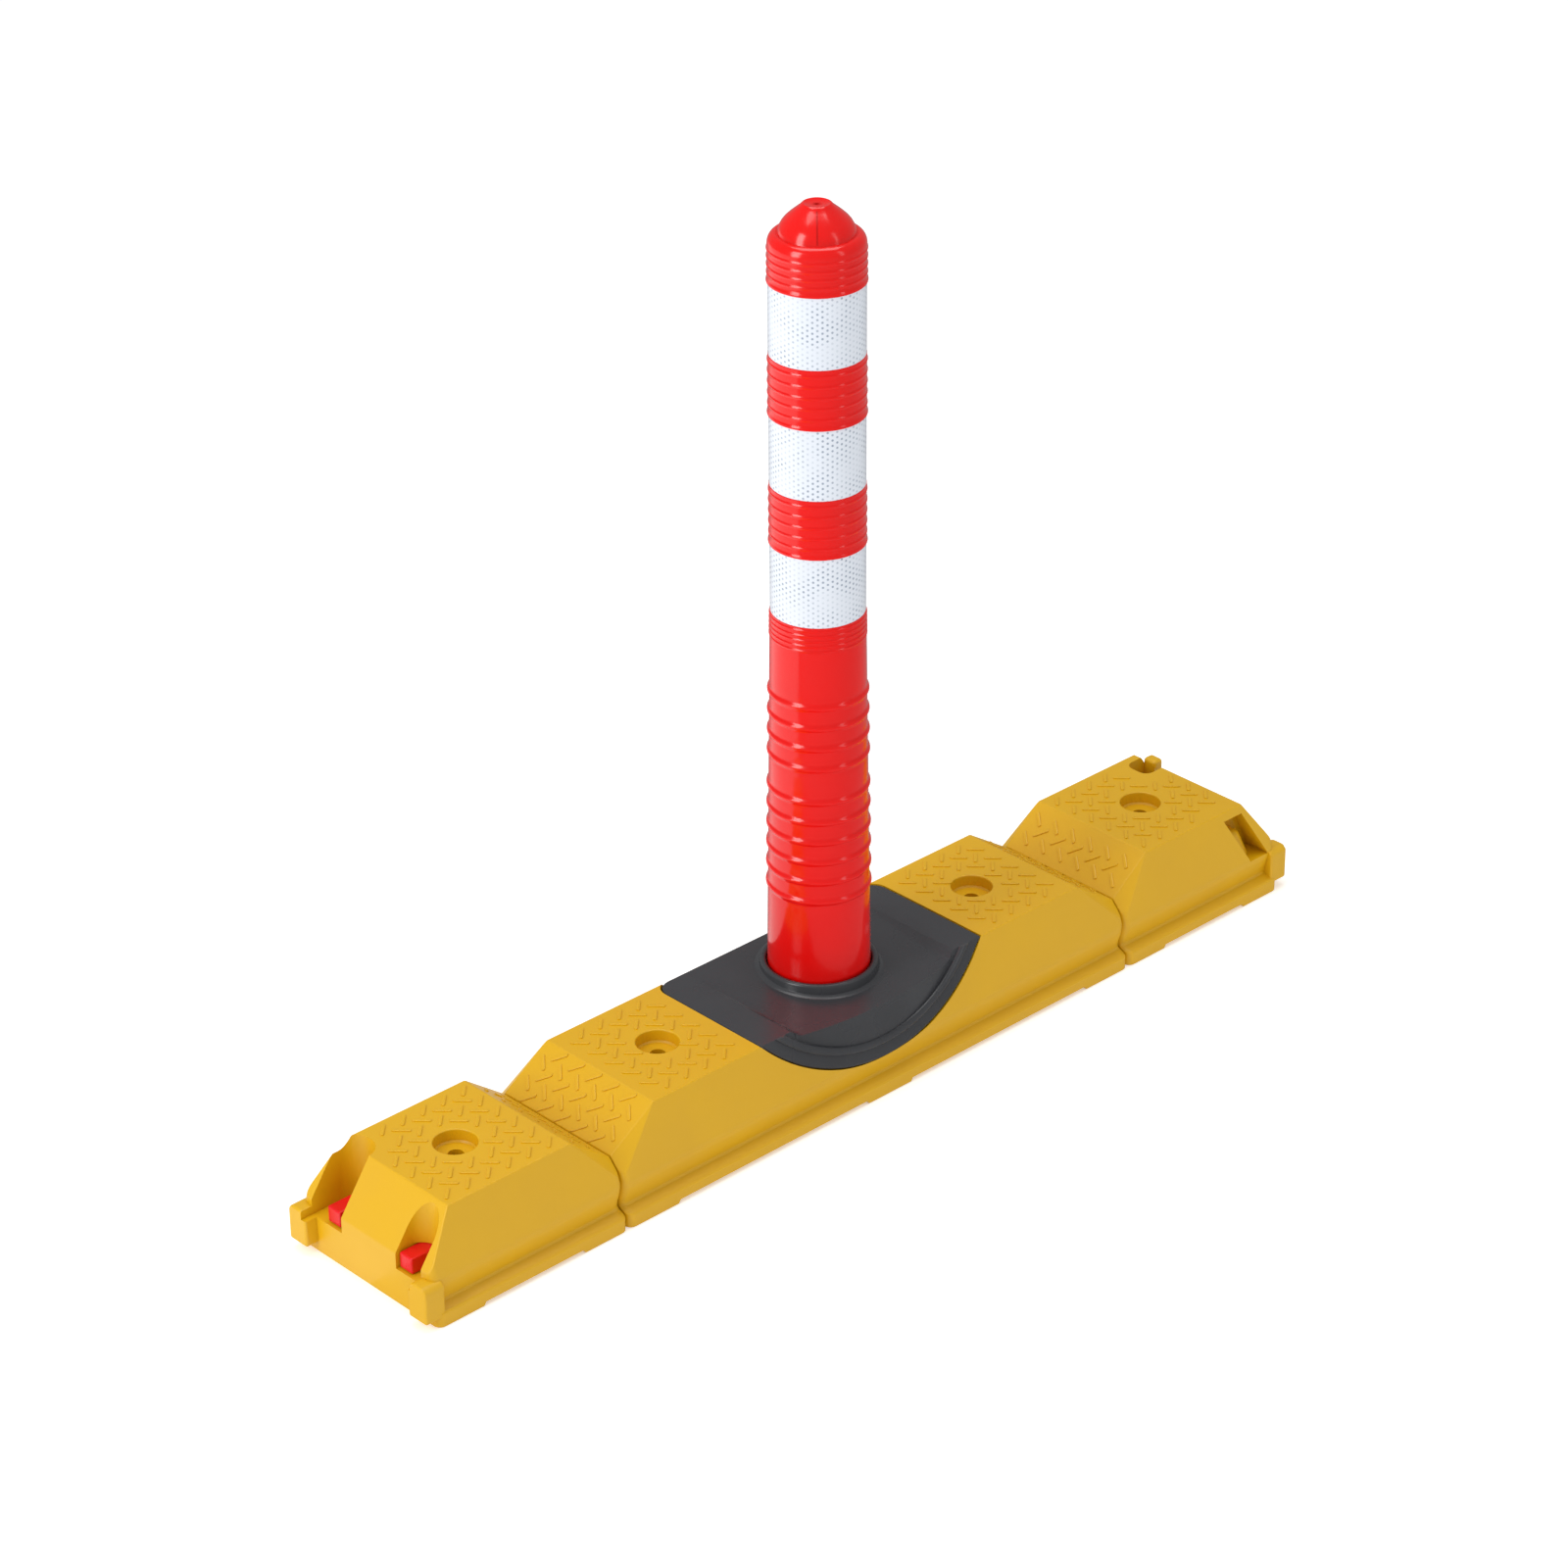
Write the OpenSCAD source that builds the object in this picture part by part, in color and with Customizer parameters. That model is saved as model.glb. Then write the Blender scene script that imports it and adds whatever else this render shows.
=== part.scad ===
// Modular lane-divider kerb with a flexible delineator post.
// X runs along the kerb, Y across it, Z up. The origin lies on the road under the post's axis.

/* [Kerb] */
// Width of the kerb over its bottom flanges
kerb_w = 178; // [160:1:220]
// Height of the kerb's flat top
kerb_h = 94; // [84:1:120]
// Width of the flat top
top_w = 134; // [120:1:140]
// Length of the middle module
middle_len = 606; // [540:1:720]
// Length of each end module
end_len = 203.5; // [180:0.5:250]
// Gap between two modules
seam_gap = 1; // [0.5:0.1:3]
// Wall thickness of the mouldings
wall = 7; // [5:0.5:9]
// Thickness of the ribs underneath
rib = 4; // [3:0.5:6]

/* [Kerb ends] */
// Height of a module at a seam, where its top has ramped down
seam_h = 62; // [54:1:70]
// Length of the middle module's ramps
middle_ramp = 48; // [36:1:60]
// Length of the end modules' ramps
end_ramp = 42; // [32:1:54]
// Height where the outer end's slope meets its upright face
nose_h = 48; // [44:1:60]
// Length of the outer end's slope
nose_run = 32; // [24:1:44]
// How far the coupling ears stand out past the end face
ear_reach = 12; // [8:1:18]

/* [Anchor holes] */
// Diameter of the anchor hole
anchor_d = 14; // [10:0.5:18]
// Diameter of the counterbore for the bolt head
counterbore_d = 37.5; // [30:0.5:44]
// Depth of the counterbore
counterbore_depth = 12; // [8:1:20]
// Distance from the post to each anchor hole in the middle module
middle_anchor_x = 189; // [180:1:220]
// Distance from the seam to each end module's anchor hole
end_anchor_x = 108; // [90:1:120]

/* [Locking bars] */
// Width of a locking bar
bar_w = 16; // [12:1:18]
// Height of a locking bar
bar_h = 15; // [12:1:17]
// Length of a locking bar
bar_len = 64; // [50:1:70]
// Clearance round a locking bar
bar_clear = 0.5; // [0.3:0.1:1]

/* [Foot plate] */
// Half the length of the foot plate along the kerb
plate_half = 132; // [124:1:140]
// Thickness of the foot plate
plate_t = 9; // [7:0.5:12]
// How far the apron runs down the front side, along its slope
apron_drop = 60; // [50:1:62]
// Gap between the foot plate and the kerb
plate_gap = 1; // [0.5:0.1:2]
// Outer diameter of the collar round the post
collar_d = 103; // [100:1:112]
// Height of the collar's rim above the kerb's top
collar_rise = 6; // [4:0.5:12]

/* [Post] */
// Diameter of the post where it enters the collar
post_base_d = 90; // [84:1:92]
// Diameter of the post above its flexible section
post_top_d = 81; // [76:1:84]
// Wall thickness of the post
post_wall = 4; // [3:0.5:6]
// Height of the top of the cap above the road
post_top = 797; // [700:1:1000]
// Height of each reflective band
band_h = 62.5; // [40:0.5:70]
// Height of the red stretch between two bands
band_gap = 53; // [30:1:60]
// Thickness of the reflective sheeting
band_t = 0.6; // [0.4:0.1:1]

/* [Hidden] */

$fn = 96;
eps = 0.01;
big = 3 * (middle_len + 2 * end_len);

kerb_yellow = "#D2A41E";
bar_red = "#D8141C";
plate_black = "#34363A";
post_red = "#E5190F";
band_white = "#DDE5EA";
zinc = "#A9ACAE";
brass = "#B8923A";

// Places along the kerb
seam_x = middle_len / 2;
middle_end = seam_x - seam_gap / 2;
end_start = seam_x + seam_gap / 2;
end_x = end_start + end_len;
outer_anchor_x = seam_x + end_anchor_x;

// Cross-section of the kerb: side wall, the waist above the flange, and the flange
side_y = kerb_w / 2 - 5.5;
side_z = 43;
waist_y = kerb_w / 2 - 10;
waist_z = 18;
flange_z = 12;
flange_bevel = 2;
trim_z = side_z + 2;
side_lean = atan2(side_y - top_w / 2, kerb_h - side_z);

// Drain passages between the feet
drain_h = 3.5;
end_foot_len = 46;
seam_foot_len = 54;
centre_foot_half = 24;

// Coupling ear seen from the end: in from the kerb's widest line, up from the road
ear_root = 4;
ear_outline = [[24, 8], [2, 8], [1, 38], [5, 42], [12, 38], [24, 24]];

// Locking bars and the channels they lie in
bar_y = 46;
bar_z = 34;
bar_front_x = end_x - 3;
slot_w = 29;
slot_front_y = 53;
slot_rear_y = 57;
slot_front_top = 28 - slot_w / 2;
slot_rear_top = 47 - slot_w / 2;
channel_len = bar_len / 2 + 2;
tunnel_len = bar_len + 8;
bar_bevel = 2;

// Pocket in the front side of the far end
front_pocket_x = end_x - 58;
front_pocket_w = 24;
front_pocket_lean = 24;
front_pocket_depth = 14;
front_pocket_low = nose_h - 8;
front_pocket_high = kerb_h - 8;

// Pocket in the rear top corner of the far end, and the lug at its mouth
rear_pocket_x = end_x - 54;
rear_pocket_w = 27;
rear_pocket_y = top_w / 2 - 36;
lug_x = end_x - 27;
lug_t = 12;
lug_y = rear_pocket_y + 14;
lug_w = 15;
lug_drop = 2;

// Foot plate, its apron and the well below it
plate_rear_y = top_w / 2 + 0.5;
plate_corner_r = 16;
apron_half = plate_half - 0.5;
apron_r = (pow(apron_half, 2) + pow(apron_drop, 2)) / (2 * apron_drop);
deck_half = 94;
deck_drop = 6;
lip_reach = 12;
lip_out = 2;
rim_w = 13;
over_side = 45;
collar_top = kerb_h + collar_rise;
collar_flare = 10;
post_clear = 0.5;
sleeve_r = 62;
sleeve_z = 34;
well_gap = 1;
well_z = 12;
screw_x = 113;
screw_y = 38;

// Fasteners
clamp_t = 6;
flange_t = 6;
flange_r = 60;
clamp_pcd_r = 53.5;
bolt_r = 3;
bolt_hole_r = 3.4;
insert_r = 4.5;
insert_len = 14;
bolt_hole_depth = 22;
thread_clear = 0.02;
head_h = 4.5;
head_r = 5.5;
washer_t = 1.2;
washer_r = 6.5;
washer_bore_r = 3.2;
screw_cover = 2.5;

// Heights up the post
post_r = post_base_d / 2;
tube_r = post_top_d / 2;
lower_bellows_z = 168;
waist_low_z = 284;
waist_high_z = 297;
tube_z = 372;
cap_h = 66;
cap_z = post_top - cap_h;
upper_band_z = cap_z - band_h;
middle_band_z = upper_band_z - band_gap - band_h;
lower_band_z = middle_band_z - band_gap - band_h;
lower_ribs = 6;
upper_ribs = 4;
big_rib_pitch = 19.2;
big_rib_r = 2.6;
big_rib_out = 1.6;
fine_rib_out = 0.9;
fine_rib_r = 1.6;
fine_ribs = 5;
lowest_fine_ribs_h = 24;
cap_edge_h = 8;
cap_spigot_h = 18;
cap_spigot_gap = 0.2;
shoulder_r = 5;
dome_z = post_top - 25;
dome_r = 32;
button_r = 11;
button_dish = 1;
band_seat = 0.9;
base_taper_z = kerb_h;

// Radius of the post's plain wall at a height: it narrows from the collar up to the bands
function post_radius(z) =
    z > lower_band_z ? tube_r :
    post_r - (post_r - tube_r) * (z - base_taper_z) / (lower_band_z - base_taper_z);

// Points of the kerb's cross-section, half of it, from the road up to the top's edge
function half_section() = [
    [kerb_w / 2, 0], [kerb_w / 2, flange_z], [kerb_w / 2 - flange_bevel, flange_z + flange_bevel],
    [waist_y, waist_z], [waist_y + 0.5, waist_z + 6], [side_y - 1, side_z - 9], [side_y, side_z],
    [top_w / 2, kerb_h]];

// The mirrored half closes the outline
function full_section(half) = concat(
    half, [for (i = [len(half) - 1 : -1 : 0]) [-half[i][0], half[i][1]]]);

// ---------------------------------------------------------------- helpers

// A YZ outline drawn out along X
module along_x(x0, x1) {
    translate([x0, 0, 0]) rotate([90, 0, 90]) linear_extrude(x1 - x0) children();
}

// An XZ outline drawn out across the kerb, between two places in Y
module along_y(y0, y1) {
    translate([0, y1, 0]) rotate([90, 0, 0]) linear_extrude(y1 - y0) children();
}

// A block given by its lowest and highest corners
module block(low, high) {
    translate(low) cube(high - low);
}

// Everything past a plane through a point, on the side its normal points to
module half_space(point, normal) {
    turn = [0, acos(normal[2] / norm(normal)), atan2(normal[1], normal[0])];
    translate(point) rotate(turn) translate([-big / 2, -big / 2, 0]) cube(big);
}

// An upright tube
module ring(r_out, r_in, z0, z1) {
    translate([0, 0, z0]) difference() {
        cylinder(r = r_out, h = z1 - z0);
        translate([0, 0, -1]) cylinder(r = r_in, h = z1 - z0 + 2);
    }
}

// Copies in a ring of four, between the axes
module four_round(r) {
    for (turn = [45 : 90 : 315]) rotate([0, 0, turn]) translate([r, 0, 0]) children();
}

// The same on the left and on the right of the post
module both_sides() {
    children();
    mirror([1, 0, 0]) children();
}

// ---------------------------------------------------------------- kerb modules

// Length outline of a middle module
module middle_outline(inset) {
    x = middle_end - inset;
    z = seam_h - inset;
    polygon([[-x, -eps], [x, -eps], [x, z], [middle_end - middle_ramp - inset / 2, kerb_h - inset],
             [-middle_end + middle_ramp + inset / 2, kerb_h - inset], [-x, z]]);
}

// Length outline of the module at the positive end
module end_outline(inset) {
    polygon([[end_start + inset, -eps], [end_x - inset, -eps], [end_x - inset, nose_h - inset / 2],
             [end_x - nose_run - inset / 2, kerb_h - inset],
             [end_start + end_ramp + inset / 2, kerb_h - inset], [end_start + inset, seam_h - inset]]);
}

// The solid envelope of the kerb's section between two places
module section_solid(x0, x1) {
    along_x(x0, x1) polygon(full_section(half_section()));
}

// The hollow under the top, inside the walls
module hollow_solid(x0, x1) {
    low_y = waist_y - wall;
    high_y = top_w / 2 - wall;
    along_x(x0, x1) polygon(full_section([[low_y, -1], [low_y, side_z - 10], [high_y, kerb_h - wall]]));
}

// Trims the corners beside a ramp that rises in +X from x0, down to trim_z on the seam's face
module ramp_corner_trim(x0, run) {
    rise = kerb_h - seam_h;
    drop = seam_h - trim_z;
    out = (kerb_h - trim_z) * tan(side_lean);
    for (side = [-1, 1]) {
        half_space([x0, side * top_w / 2, seam_h],
                   [-rise * out, side * run * drop, run * out]);
    }
}

// Crossways and lengthways ribs that stay in a hollow
module rib_grid(x0, x1, count) {
    pitch = (x1 - x0) / count;
    block([x0, -rib / 2, -1], [x1, rib / 2, kerb_h]);
    for (i = [1 : count - 1]) {
        block([x0 + i * pitch - rib / 2, -kerb_w, -1], [x0 + i * pitch + rib / 2, kerb_w, kerb_h]);
    }
}

// Wall left round an anchor hole
module anchor_boss(x) {
    translate([x, 0, -1]) cylinder(r = counterbore_d / 2 + wall, h = kerb_h);
}

// The anchor hole itself, with its counterbore
module anchor_hole(x) {
    translate([x, 0, -1]) cylinder(d = anchor_d, h = kerb_h + 2);
    translate([x, 0, kerb_h - counterbore_depth]) cylinder(d = counterbore_d, h = kerb_h);
}

// Drain passage under the kerb between two feet, with sloping ends
module drain(x0, x1) {
    along_y(-kerb_w, kerb_w) polygon([[x0, -1], [x1, -1], [x1, 0], [x1 - drain_h, drain_h],
                                      [x0 + drain_h, drain_h], [x0, 0]]);
}

// Channel for a locking bar across a seam at x, grown by a wall or a clearance
module seam_channels(x, grow) {
    for (side = [-1, 1]) {
        bar_room(side, x - channel_len, x + channel_len, grow);
    }
}

// Room for a locking bar between two places along the kerb, grown by a wall or by nothing
module bar_room(side, x0, x1, grow) {
    margin = bar_clear + grow;
    block([x0 - grow, side * bar_y - bar_w / 2 - margin, bar_z - margin],
          [x1 + grow, side * bar_y + bar_w / 2 + margin, bar_z + bar_h + margin]);
}

// Coupling ears at the outer corners of the positive end
module ears() {
    for (side = [0, 1]) mirror([0, side, 0]) {
        along_x(end_x - ear_root, end_x + ear_reach)
            polygon([for (p = ear_outline) [kerb_w / 2 - p[0], p[1]]]);
    }
}

// Slot in the nose over a locking bar, on the side where y is positive: open above and in front
module bar_slot(y, run, grow) {
    half = slot_w / 2 + grow;
    low = bar_z - bar_clear - grow;
    translate([end_x - run, y, low]) cylinder(r = half, h = kerb_h);
    block([end_x - run, y - half, low], [end_x + 1, y + half, kerb_h + low]);
}

// Tunnel that the tail of a locking bar slides in, behind the slot
module bar_tunnel(side, grow) {
    bar_room(side, end_x - tunnel_len, end_x + 1, grow);
}

// Start module, drawn at the positive end and turned round to the other one
module start_kerb() {
    hollow_start = end_start + wall;
    hollow_end = end_x - wall;
    color(kerb_yellow) rotate([0, 0, 180]) difference() {
        union() {
            intersection() {
                section_solid(end_start, end_x);
                along_y(-kerb_w, kerb_w) end_outline(0);
            }
            ears();
        }
        ramp_corner_trim(end_start, end_ramp);
        difference() {
            intersection() {
                hollow_solid(hollow_start, hollow_end);
                along_y(-kerb_w, kerb_w) end_outline(wall);
            }
            rib_grid(hollow_start, hollow_end, 3);
            anchor_boss(outer_anchor_x);
            seam_channels(seam_x, wall / 2);
            bar_slot(slot_front_y, slot_front_top, wall / 2);
            bar_slot(-slot_rear_y, slot_rear_top, wall / 2);
            for (side = [-1, 1]) bar_tunnel(side, wall / 2);
        }
        anchor_hole(outer_anchor_x);
        seam_channels(seam_x, 0);
        bar_slot(slot_front_y, slot_front_top, 0);
        bar_slot(-slot_rear_y, slot_rear_top, 0);
        for (side = [-1, 1]) bar_tunnel(side, 0);
        drain(end_start + end_foot_len, end_x - end_foot_len);
    }
}

// Slanting pocket in the front side of the far end, nearly parallel to its nose
module front_pocket(grow) {
    low_x = front_pocket_x + front_pocket_lean;
    low_z = front_pocket_low - grow;
    high_z = front_pocket_high + grow;
    along_y(-kerb_w, front_pocket_depth + grow - top_w / 2) polygon([
        [front_pocket_x - grow, high_z], [front_pocket_x + front_pocket_w + grow, high_z],
        [low_x + front_pocket_w + grow, low_z], [low_x - grow, low_z]]);
}

// Lug that stands up out of the nose at the mouth of the rear pocket
module rear_lug() {
    block([lug_x, lug_y, nose_h - wall], [lug_x + lug_t, lug_y + lug_w, kerb_h - lug_drop]);
}

// Pocket in the rear top corner of the far end, open above and, beside the lug, through the nose
module rear_pocket(grow) {
    low = nose_h - grow;
    block([rear_pocket_x - grow, rear_pocket_y - grow, low],
          [lug_x + grow, rear_pocket_y + rear_pocket_w + grow, 2 * kerb_h]);
    block([lug_x - grow, rear_pocket_y - grow, low], [end_x + 1, lug_y + grow, 2 * kerb_h]);
}

// End module
module end_kerb() {
    hollow_start = end_start + wall;
    hollow_end = end_x - wall;
    color(kerb_yellow) difference() {
        union() {
            intersection() {
                section_solid(end_start, end_x);
                along_y(-kerb_w, kerb_w) end_outline(0);
            }
            ears();
            rear_lug();
        }
        ramp_corner_trim(end_start, end_ramp);
        difference() {
            intersection() {
                hollow_solid(hollow_start, hollow_end);
                along_y(-kerb_w, kerb_w) end_outline(wall);
            }
            rib_grid(hollow_start, hollow_end, 3);
            anchor_boss(outer_anchor_x);
            seam_channels(seam_x, wall / 2);
            front_pocket(wall / 2);
            rear_pocket(wall / 2);
        }
        anchor_hole(outer_anchor_x);
        seam_channels(seam_x, 0);
        front_pocket(0);
        rear_pocket(0);
        drain(end_start + end_foot_len, end_x - end_foot_len);
    }
}

// Round well for the post's socket
module well(grow, z0) {
    translate([0, 0, z0]) cylinder(r = sleeve_r + well_gap + grow, h = kerb_h);
}

// Middle module, with the recess and the well for the foot plate
module middle_kerb() {
    hollow_end = middle_end - wall;
    color(kerb_yellow) difference() {
        intersection() {
            section_solid(-middle_end, middle_end);
            along_y(-kerb_w, kerb_w) middle_outline(0);
        }
        both_sides() ramp_corner_trim(-middle_end, middle_ramp);
        difference() {
            intersection() {
                hollow_solid(-hollow_end, hollow_end);
                along_y(-kerb_w, kerb_w) middle_outline(wall);
            }
            rib_grid(-hollow_end, hollow_end, 8);
            both_sides() anchor_boss(middle_anchor_x);
            both_sides() seam_channels(seam_x, wall / 2);
            plate_block(plate_t + plate_gap + wall, plate_gap + wall, 0);
            well(wall, well_z - wall + 1);
        }
        both_sides() anchor_hole(middle_anchor_x);
        both_sides() seam_channels(seam_x, 0);
        plate_block(plate_t + plate_gap, plate_gap, over_side);
        well(0, well_z);
        for (x = [-screw_x, screw_x], y = [-screw_y, screw_y]) {
            translate([x, y, kerb_h / 2]) cylinder(r = bolt_hole_r, h = kerb_h);
        }
        both_sides() drain(centre_foot_half, middle_end - seam_foot_len);
    }
}

// ---------------------------------------------------------------- locking bars

// One locking bar, its nose bevelled, starting at x = 0 and running to -bar_len
module lock_bar() {
    along_y(-bar_w / 2, bar_w / 2) polygon([
        [0, bar_bevel], [0, bar_h - bar_bevel], [-bar_bevel, bar_h],
        [-bar_len, bar_h], [-bar_len, 0], [-bar_bevel, 0]]);
}

module front_lock_bar() {
    color(bar_red) translate([-bar_front_x, -bar_y, bar_z]) rotate([0, 0, 180]) lock_bar();
}

module rear_lock_bar() {
    color(bar_red) translate([-bar_front_x, bar_y, bar_z]) rotate([0, 0, 180]) lock_bar();
}

// The pair of bars that lock two modules together across a seam
module seam_bars(x) {
    for (side = [-1, 1]) translate([x + bar_len / 2, side * bar_y, bar_z]) lock_bar();
}

module start_seam_bars() {
    color(bar_red) seam_bars(-seam_x);
}

module end_seam_bars() {
    color(bar_red) seam_bars(seam_x);
}

// ---------------------------------------------------------------- foot plate

// Places its children on the front side, with +Z out of it and +Y up along it, starting at the top's edge
module on_front_side() {
    translate([0, -top_w / 2, kerb_h]) rotate([90 - side_lean, 0, 0]) children();
}

// Upright block with the plate's outline: straight in front, with two rounded corners at the rear
module plate_outline(grow, z0, z1) {
    x = plate_half + grow;
    y = plate_rear_y + grow;
    r = plate_corner_r;
    translate([0, 0, z0]) {
        linear_extrude(z1 - z0) polygon([[-x, -top_w / 2], [x, -top_w / 2], [x, y - r], [x - r, y],
                                         [r - x, y], [-x, y - r]]);
        for (side = [-1, 1]) translate([side * (x - r), y - r, 0]) cylinder(r = r, h = z1 - z0);
    }
}

// Disc segment on the front side with the apron's outline, less an inset, between two depths
module apron_outline(inset, low, high) {
    on_front_side() intersection() {
        translate([0, apron_r - apron_drop, low]) cylinder(r = apron_r - inset, h = high - low, $fn = 180);
        translate([-big / 2, -kerb_h, low]) cube([big, kerb_h, high - low]);
    }
}

// Layer of a given thickness under the top and behind the front side, standing out by a second amount
module plate_block(thickness, grow, out) {
    plate_outline(grow, kerb_h - thickness, kerb_h + out);
    apron_outline(-grow, -thickness, out);
}

// Everything above the sunken deck, which falls from the rear edge to the front lip
module above_deck() {
    reach = top_w;
    along_x(-deck_half, deck_half) polygon([
        [plate_rear_y + 1, kerb_h], [plate_rear_y - reach * 1.5, kerb_h - deck_drop * 1.5],
        [plate_rear_y - reach * 1.5, kerb_h + big], [plate_rear_y + 1, kerb_h + big]]);
}

// Upright bulge of the apron that carries the deck's front lip
module apron_bulge() {
    lip_r = (pow(deck_half, 2) + pow(lip_reach, 2)) / (2 * lip_reach);
    intersection() {
        apron_outline(rim_w, -plate_t, over_side);
        translate([0, lip_r - top_w / 2 - lip_out - lip_reach, 0])
            cylinder(r = lip_r, h = kerb_h, $fn = 180);
        block([-deck_half, -kerb_w, 0], [deck_half, -top_w / 2 + eps, kerb_h]);
    }
}

module foot_plate() {
    bore_r = post_r + post_clear;
    color(plate_black) difference() {
        union() {
            difference() {
                union() {
                    plate_block(plate_t, 0, 0);
                    apron_bulge();
                }
                above_deck();
            }
            translate([0, 0, sleeve_z]) cylinder(r = sleeve_r, h = kerb_h - plate_t / 2 - sleeve_z);
            translate([0, 0, kerb_h - plate_t]) cylinder(d = collar_d, h = collar_top - kerb_h + plate_t);
            rotate_extrude() polygon([
                [bore_r, kerb_h - plate_t], [collar_d / 2 + collar_flare, kerb_h - plate_t],
                [collar_d / 2 + collar_flare, kerb_h - plate_t / 2], [collar_d / 2, kerb_h + 1],
                [bore_r, kerb_h + 1]]);
        }
        cylinder(r = bore_r, h = kerb_h * 2);
        four_round(clamp_pcd_r) translate([0, 0, sleeve_z - 1]) cylinder(r = insert_r, h = insert_len + 1);
        four_round(clamp_pcd_r) translate([0, 0, sleeve_z]) cylinder(r = bolt_r, h = bolt_hole_depth);
        plate_screw_places(kerb_h - plate_t - 1) cylinder(r = bolt_r, h = plate_t - 1);
    }
}

// The four screws that hold the plate down from underneath
module plate_screw_places(z) {
    for (x = [-screw_x, screw_x], y = [-screw_y, screw_y]) translate([x, y, z]) children();
}

// ---------------------------------------------------------------- fasteners

module threaded_inserts() {
    color(brass) four_round(clamp_pcd_r) ring(insert_r, bolt_r, sleeve_z, sleeve_z + insert_len);
}

module clamp_ring() {
    low = sleeve_z - flange_t - clamp_t;
    color(zinc) difference() {
        ring(flange_r, post_r - post_wall, low, low + clamp_t);
        four_round(clamp_pcd_r) translate([0, 0, low - 1]) cylinder(r = bolt_hole_r, h = clamp_t + 2);
    }
}

module clamp_washers() {
    high = sleeve_z - flange_t - clamp_t;
    color(zinc) four_round(clamp_pcd_r) ring(washer_r, washer_bore_r, high - washer_t, high);
}

// Bolt pointing up: its head hangs below z = 0
module bolt(length) {
    cylinder(r = bolt_r - thread_clear, h = length);
    translate([0, 0, -head_h]) cylinder(r = head_r, h = head_h, $fn = 6);
}

module clamp_bolts() {
    seat = sleeve_z - flange_t - clamp_t - washer_t;
    color(zinc) four_round(clamp_pcd_r) translate([0, 0, seat]) bolt(sleeve_z - seat + insert_len);
}

module plate_washers() {
    high = kerb_h - plate_t - plate_gap - wall;
    color(zinc) plate_screw_places(0) ring(washer_r, washer_bore_r, high - washer_t, high);
}

module plate_screws() {
    seat = kerb_h - plate_t - plate_gap - wall - washer_t;
    color(zinc) plate_screw_places(seat) bolt(kerb_h - screw_cover - seat);
}

// ---------------------------------------------------------------- post

// Tube wall between two heights, following the post's taper
module plain_wall(z0, z1) {
    rotate_extrude() polygon([
        [post_radius(z0) - post_wall, z0], [post_radius(z0), z0],
        [post_radius(z1), z1], [post_radius(z1) - post_wall, z1]]);
}

// Round rib that stands out of the wall at a height
module rib_ring(z, size, out) {
    rotate_extrude() translate([post_radius(z) + out - size, z]) circle(size, $fn = 24);
}

// Fine ribs spread evenly between two heights
module fine_rib_rings(z0, z1, count) {
    pitch = (z1 - z0) / count;
    for (i = [0 : count - 1]) rib_ring(z0 + (i + 0.5) * pitch, fine_rib_r, fine_rib_out);
}

// Flexible stretch with large ribs, centred between two heights
module bellows(z0, z1, count) {
    first = (z0 + z1) / 2 - (count - 1) / 2 * big_rib_pitch;
    plain_wall(z0, z1);
    for (i = [0 : count - 1]) rib_ring(first + i * big_rib_pitch, big_rib_r, big_rib_out);
}

module post_base() {
    low = sleeve_z - flange_t;
    color(post_red) difference() {
        union() {
            ring(flange_r, post_r - post_wall, low, sleeve_z);
            ring(post_r, post_r - post_wall, low, base_taper_z);
            plain_wall(base_taper_z, lower_bellows_z);
        }
        four_round(clamp_pcd_r) translate([0, 0, low - 1]) cylinder(r = bolt_hole_r, h = flange_t + 2);
    }
}

module lower_bellows() {
    color(post_red) bellows(lower_bellows_z, waist_low_z, lower_ribs);
}

module post_waist() {
    color(post_red) plain_wall(waist_low_z, waist_high_z);
}

module upper_bellows() {
    color(post_red) bellows(waist_high_z, tube_z, upper_ribs);
}

module post_tube() {
    ribs_z = lower_band_z - lowest_fine_ribs_h;
    color(post_red) difference() {
        union() {
            plain_wall(tube_z, cap_z);
            fine_rib_rings(ribs_z, lower_band_z, fine_ribs);
            fine_rib_rings(lower_band_z + band_h, middle_band_z, fine_ribs);
            fine_rib_rings(middle_band_z + band_h, upper_band_z, fine_ribs);
        }
        for (z = [lower_band_z, middle_band_z, upper_band_z]) {
            ring(tube_r * 2, tube_r - band_seat, z, z + band_h);
        }
    }
}

module post_cap() {
    spigot_r = tube_r - post_wall - cap_spigot_gap;
    color(post_red) difference() {
        union() {
            rotate_extrude() polygon(cap_profile(0, cap_z, tube_r, shoulder_r));
            translate([0, 0, cap_z - cap_spigot_h]) cylinder(r = spigot_r, h = cap_spigot_h + 1);
            fine_rib_rings(cap_z + cap_edge_h, dome_z - shoulder_r, fine_ribs - 1);
        }
        rotate_extrude() polygon(
            cap_profile(post_wall, cap_z - cap_spigot_h - 1, spigot_r - post_wall, post_wall));
    }
}

// Half outline of the cap or of its hollow: skirt, rounded shoulder, dome and a dished button
function cap_profile(inset, low_z, skirt_r, round_r) = concat(
    [[0, low_z], [skirt_r, low_z], [skirt_r, dome_z - inset - round_r]],
    [for (a = [15 : 15 : 90])
        [skirt_r - round_r * (1 - cos(a)), dome_z - inset - round_r * (1 - sin(a))]],
    [for (a = [0 : 9 : 90])
        [button_r + (dome_r - inset - button_r) * cos(a),
         dome_z - inset + (post_top - dome_z) * sin(a)]],
    [[0, post_top - inset - button_dish]]);

// Sleeve of retroreflective sheeting in its recess
module band(z) {
    color(band_white) ring(tube_r - band_seat + band_t, tube_r - band_seat, z, z + band_h);
}

module lower_band() { band(lower_band_z); }
module middle_band() { band(middle_band_z); }
module upper_band() { band(upper_band_z); }

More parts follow.
